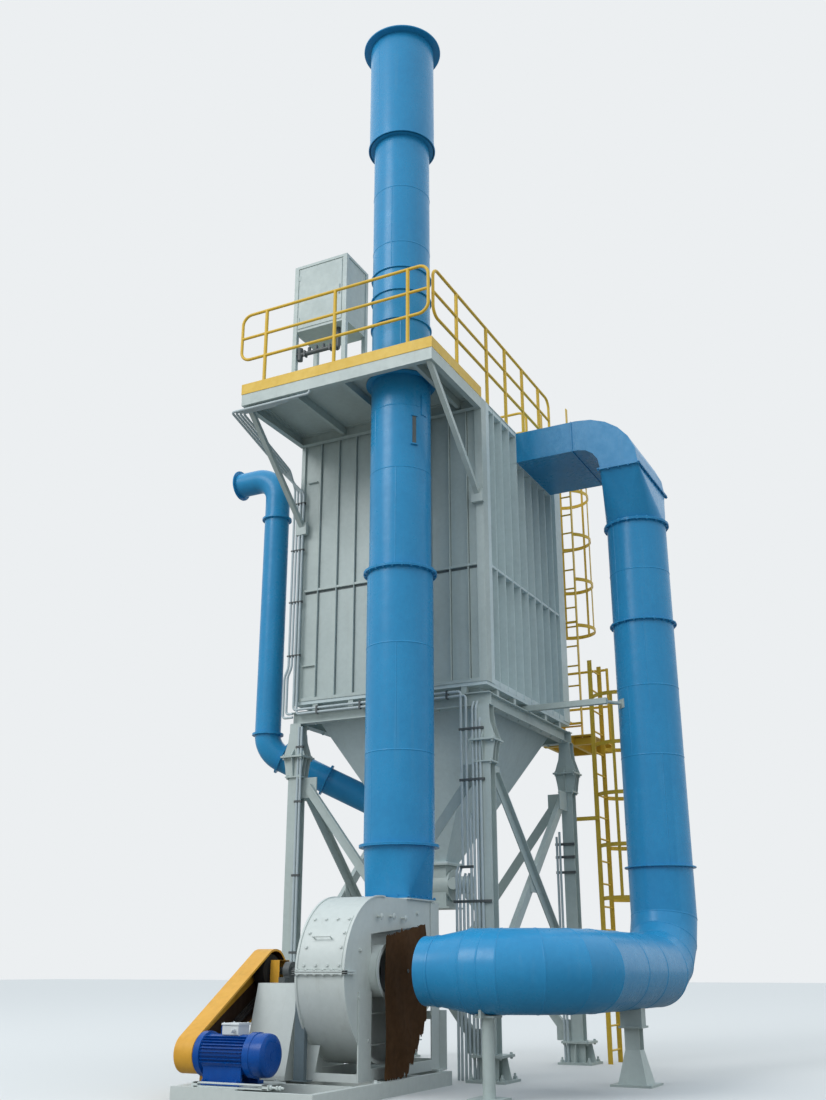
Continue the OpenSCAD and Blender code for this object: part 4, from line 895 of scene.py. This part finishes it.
# Fan motor. Cast iron with cooling fins and a pressed fan cowl, on slide rails
# with an adjusting screw. It has a lifting eye and a pale terminal box on top.
motor_low, motor_high = box_of("motor")
motor_x, motor_y, motor_z = motor_at = np.array((motor_high[0] - 0.730, -4.080, 0.380))
body = [(0.03, 0.0), (0.175, 0.0), (0.187, 0.012), (0.187, 0.070), (0.165, 0.080), (0.165, 0.520),
        (0.187, 0.530), (0.187, 0.590), (0.172, 0.600), (0.03, 0.600)]
cowl = [(0.02, 0.590), (0.180, 0.590), (0.180, 0.680), (0.174, 0.706), (0.150, 0.724),
        (0.120, 0.730), (0.02, 0.730)]
motor = [turned(profile, motor_at, ALONG_X, sides) for profile, sides in (
    (body, 72), (cowl, 72), (rod(0.0235, -0.190, 0.010), 32), (rod(0.040, 0.725, 0.733), 24),
    *[(hoop(0.727, r, r + 0.004, 0.004, 0.001), 72) for r in (0.060, 0.078, 0.096, 0.114)])]
fin = circle(40)
feet_side = (fin > np.radians(205)) & (fin < np.radians(335))
box_side = (fin > np.radians(62)) & (fin < np.radians(118))
for a in fin[~feet_side & ~box_side]:
    spoke, edge = np.array((0, np.cos(a), np.sin(a))), np.array((0, -np.sin(a), np.cos(a)))
    section = np.array([r * spoke + half * edge for r, half in (
        (0.160, 0.0035), (0.188, 0.002), (0.188, -0.002), (0.160, -0.0035))])
    motor.append(skin([section + motor_at + (x, 0, 0) for x in (0.082, 0.518)]))
stand = np.array((motor_x, motor_y, motor_low[2]))
foot_t = 0.028
web_z = motor_z - 0.09 - stand[2]
for y in (-0.150, 0.150):
    web = y * 0.86
    motor += [brick(stand + (0.085, y - 0.045, 0), stand + (0.515, y + 0.045, foot_t), 0.006),
              brick(stand + (0.10, web - 0.012, 0.02), stand + (0.50, web + 0.012, web_z))]
feet = [stand + (x, y, foot_t) for x in (0.125, 0.475) for y in (-0.165, 0.165)]
motor.append(bolts(feet, UP, 0.024, 0.014))
eye = [motor_at + (x, 0, z) for x, z in ((0.18, 0.16), (0.18, 0.235), (0.22, 0.235), (0.22, 0.16))]
motor.append(swept(rounded(eye, 0.018), 0.007))
piece("drive_motor", motor, "motor_paint", ["motor"])

box_at = motor_at + (0.33, 0, 0.155)
gland = [(0.001, 0), (0.017, 0), (0.017, 0.030), (0.013, 0.045), (0.001, 0.045)]
lid_screws = [box_at + (x, y, 0.103) for x in (-0.075, 0.075) for y in (-0.075, 0.075)]
terminal = [brick(box_at - (0.085, 0.085, 0), box_at + (0.085, 0.085, 0.085), 0.010),
            brick(box_at + (-0.092, -0.092, 0.083), box_at + (0.092, 0.092, 0.103), 0.006),
            bolts(lid_screws, UP, 0.010, 0.004),
            turned(gland, box_at + (0.04, -0.085, 0.045), (0, -1, 0), 6)]
white_box = painted(
    "pale_grey_terminal_box_paint", "#d5dadc", "#c6ccce", 0.4, dust_share=0.05)
piece("terminal_box", terminal, "motor_paint", material=white_box)

(skid_x, skid_y, _), (_, _, deck_z) = box_of("fan_skid")
rail_y0, rail_y1 = skid_y + 0.030, skid_y + 0.075
rails = [brick((x - 0.035, motor_y - 0.34, deck_z - 0.0002),
               (x + 0.035, motor_y + 0.34, deck_z + 0.0005))
         for x in (motor_x + 0.13, motor_x + 0.47)]
rails += [brick((skid_x + 0.22, rail_y0, z), (0.55, rail_y1, z + 0.012))
          for z in (deck_z + 0.0005, deck_z + 0.030)]
rails += [brick((x, rail_y0, deck_z), (x + 0.06, rail_y1, deck_z + 0.042))
          for x in (skid_x + 0.20, 0.50)]
screw = np.array((0.60, skid_y + 0.052, deck_z + 0.022))
rails.append(turned(rod(0.009, -0.15, 0.10), screw, ALONG_X, 16))
nut = [(0.009, 0), (0.018, 0), (0.018, 0.014), (0.009, 0.014)]
rails += [turned(nut, screw + (x, 0, 0), ALONG_X, 6) for x in (-0.03, 0.03, 0.06)]
piece("motor_slide_rails", rails, "pale_paint")

# Belt guard. A folded and welded yellow sheet case runs round both pulleys. It
# stands on a foot, is open toward the bearings, and its inside is dark brown: painted shade with
# belt grime.
drive_r, wheel_r, guard_deep, guard_t = 0.170, 0.205, 0.200, 0.003
guard_x0 = box_of("belt_guard")[0][0]
guard_x1 = guard_x0 + guard_deep
pulley = np.array((guard_x0 + 0.100, shaft_y, shaft_z))
drive_at = np.array((pulley[0], motor_y, motor_z))
lean = pulley - drive_at
centres = np.linalg.norm(lean)
ahead = lean / centres
side = np.array((0, -ahead[2], ahead[1]))
open_at = np.arccos((drive_r - wheel_r) / centres)


def guard_ring(x, inset=0.0, count=40):
    """Outline round both pulleys in the belt plane: an arc round each, joined by the two
    straight sides."""
    near = np.linspace(open_at, 2 * np.pi - open_at, count)[:, None]
    far = np.linspace(-open_at, open_at, count)[:, None]
    low = drive_at + (drive_r - inset) * (np.cos(near) * ahead + np.sin(near) * side)
    top = pulley + (wheel_r - inset) * (np.cos(far) * ahead + np.sin(far) * side)
    ring = np.vstack([low, top])
    ring[:, 0] = x
    return ring


back, wide = guard_x0 + guard_t, 0.16
guard = [skin([guard_ring(x, inset) for x, inset in (
    (guard_x0, 0.0), (guard_x1, 0.0), (guard_x1, 0.020), (guard_x1 - guard_t, 0.020),
    (guard_x1 - guard_t, guard_t), (back, guard_t), (back, wide), (guard_x0, wide))], wrap=True),
         skin([guard_ring(x, wide - 0.002) for x in (guard_x0 + 0.0004, back - 0.0004)]),
         brick((guard_x1 - 0.050, motor_y + 0.030, deck_z),
               (guard_x1 - 0.002, motor_y + 0.110, deck_z + 0.09))]
hood = [(-0.090, -0.110), (-0.090, 0.100), (0.090, 0.100), (0.090, -0.110), (0.087, -0.110),
        (0.087, 0.097), (-0.087, 0.097), (-0.087, -0.110)]
guard += [extruded(np.array(hood) + (shaft_y, shaft_z), 0, guard_x1 + 0.002, guard_x1 + 0.106),
          bolts(guard_ring(guard_x1, 0.010)[3:78:8], ALONG_X, 0.016, 0.008)]
guard_yellow = painted(
    "orange_yellow_guard_paint", "#e2a93d", "#d0962f", 0.42, "#7d5f2c", gloss=0.35)
piece("drive_belt_guard", guard, "yellow_paint", ["belt_guard"], material=guard_yellow)
# Painted shade with belt grime: a dark brown lining inside the guard stands for the shade there and
# for grime.
shade_and_grime = painted("dark_brown_shade_and_belt_grime", "#3a2414", "#22150c", 0.7, dust_share=0.04)
coat, coat_in = 0.0034, 0.0048
liner = [guard_ring(x, inset) for x, inset in (
    (guard_x0 + coat, coat), (guard_x1 - 0.012, coat), (guard_x1 - 0.012, coat_in),
    (guard_x0 + coat_in, coat_in), (guard_x0 + coat_in, 0.157), (guard_x0 + coat, 0.157))]
piece("guard_lining_shade_and_grime", [skin(liner, wrap=True)], "yellow_paint", material=shade_and_grime)

# Sheet at the inlet. A hand-cut piece of thin rusty plate hangs loose between
# the duct and the fan. It is buckled, its lower edge is ragged, and it has a
# grommet above its middle.
sheet_low, sheet_high = box_of("inlet_sheet")
su, sv = np.linspace(0, 1, 90)[None, :], np.linspace(0, 1, 120)[:, None]
left_y, right_y = sheet_low[1], -2.310
lower = (0.135 + 0.48 * np.clip((su - 0.42) / 0.58, 0, 1) ** 1.3
         + 0.030 * np.sin(su * 47) * (su > 0.3) + 0.015 * np.sin(su * 113 + 1))
upper = 1.375 + 0.140 * su + 0.006 * np.sin(su * 31)
bulge = 0.045 * np.sin(sv * np.pi) * np.clip(su - 0.55, 0, 1) * 2
sheet_y = (left_y + 0.02 * np.sin(sv * 2.2) * (1 - su) + (right_y - left_y) * su + bulge
           + 0.07 * np.clip(0.45 - sv, 0, 1) * su)
sheet_z = np.maximum(lower, deck_z - 0.011) + (upper - lower) * sv
sheet_x = (sheet_low[0] + 0.003 + 0.011 * np.sin(su * 4.1 + sv * 2.3) * np.sin(sv * 5.2 + 0.6)
           + 0.004 * np.sin(su * 13 + sv * 9))
sheet_x = np.clip(sheet_x, sheet_low[0] - 0.02, sheet_high[0] + 0.02)
mid = np.stack(np.broadcast_arrays(sheet_x, sheet_y, sheet_z), -1)
half_t = (0.0015, 0, 0)
rows, cols = mid.shape[:2]
total = rows * cols
at = np.arange(total).reshape(rows, cols)
quads = np.stack([at[:-1, :-1], at[:-1, 1:], at[1:, 1:], at[1:, :-1]], -1).reshape(-1, 4)
border = np.concatenate([at[0], at[1:, -1], at[-1, -2::-1], at[-2:0:-1, 0]])
beyond = np.roll(border, -1)
edge_quads = np.stack([border, border + total, beyond + total, beyond], -1)
points = mid.reshape(-1, 3)
plate = outward(np.vstack([points + half_t, points - half_t]),
                [quads, quads[:, ::-1] + total, edge_quads])
piece("hanging_inlet_sheet", [plate], "rusty_sheet", ["inlet_sheet"], crease=60)
grommet = turned(hoop(-0.003, 0.006, 0.018, 0.008), mid[84, 46] + (0.004, 0, 0), ALONG_X, 20)
wire = np.array([(-0.004, 0, -0.02), (0.004, 0, 0.004), (-0.004, 0, 0.012)])
hooks = [swept(mid[-1, k] + wire, 0.004, 8) for k in (20, 70)]
piece("sheet_grommet", [grommet, *hooks], "rusty_sheet", material=PAINTS["bare_steel"])
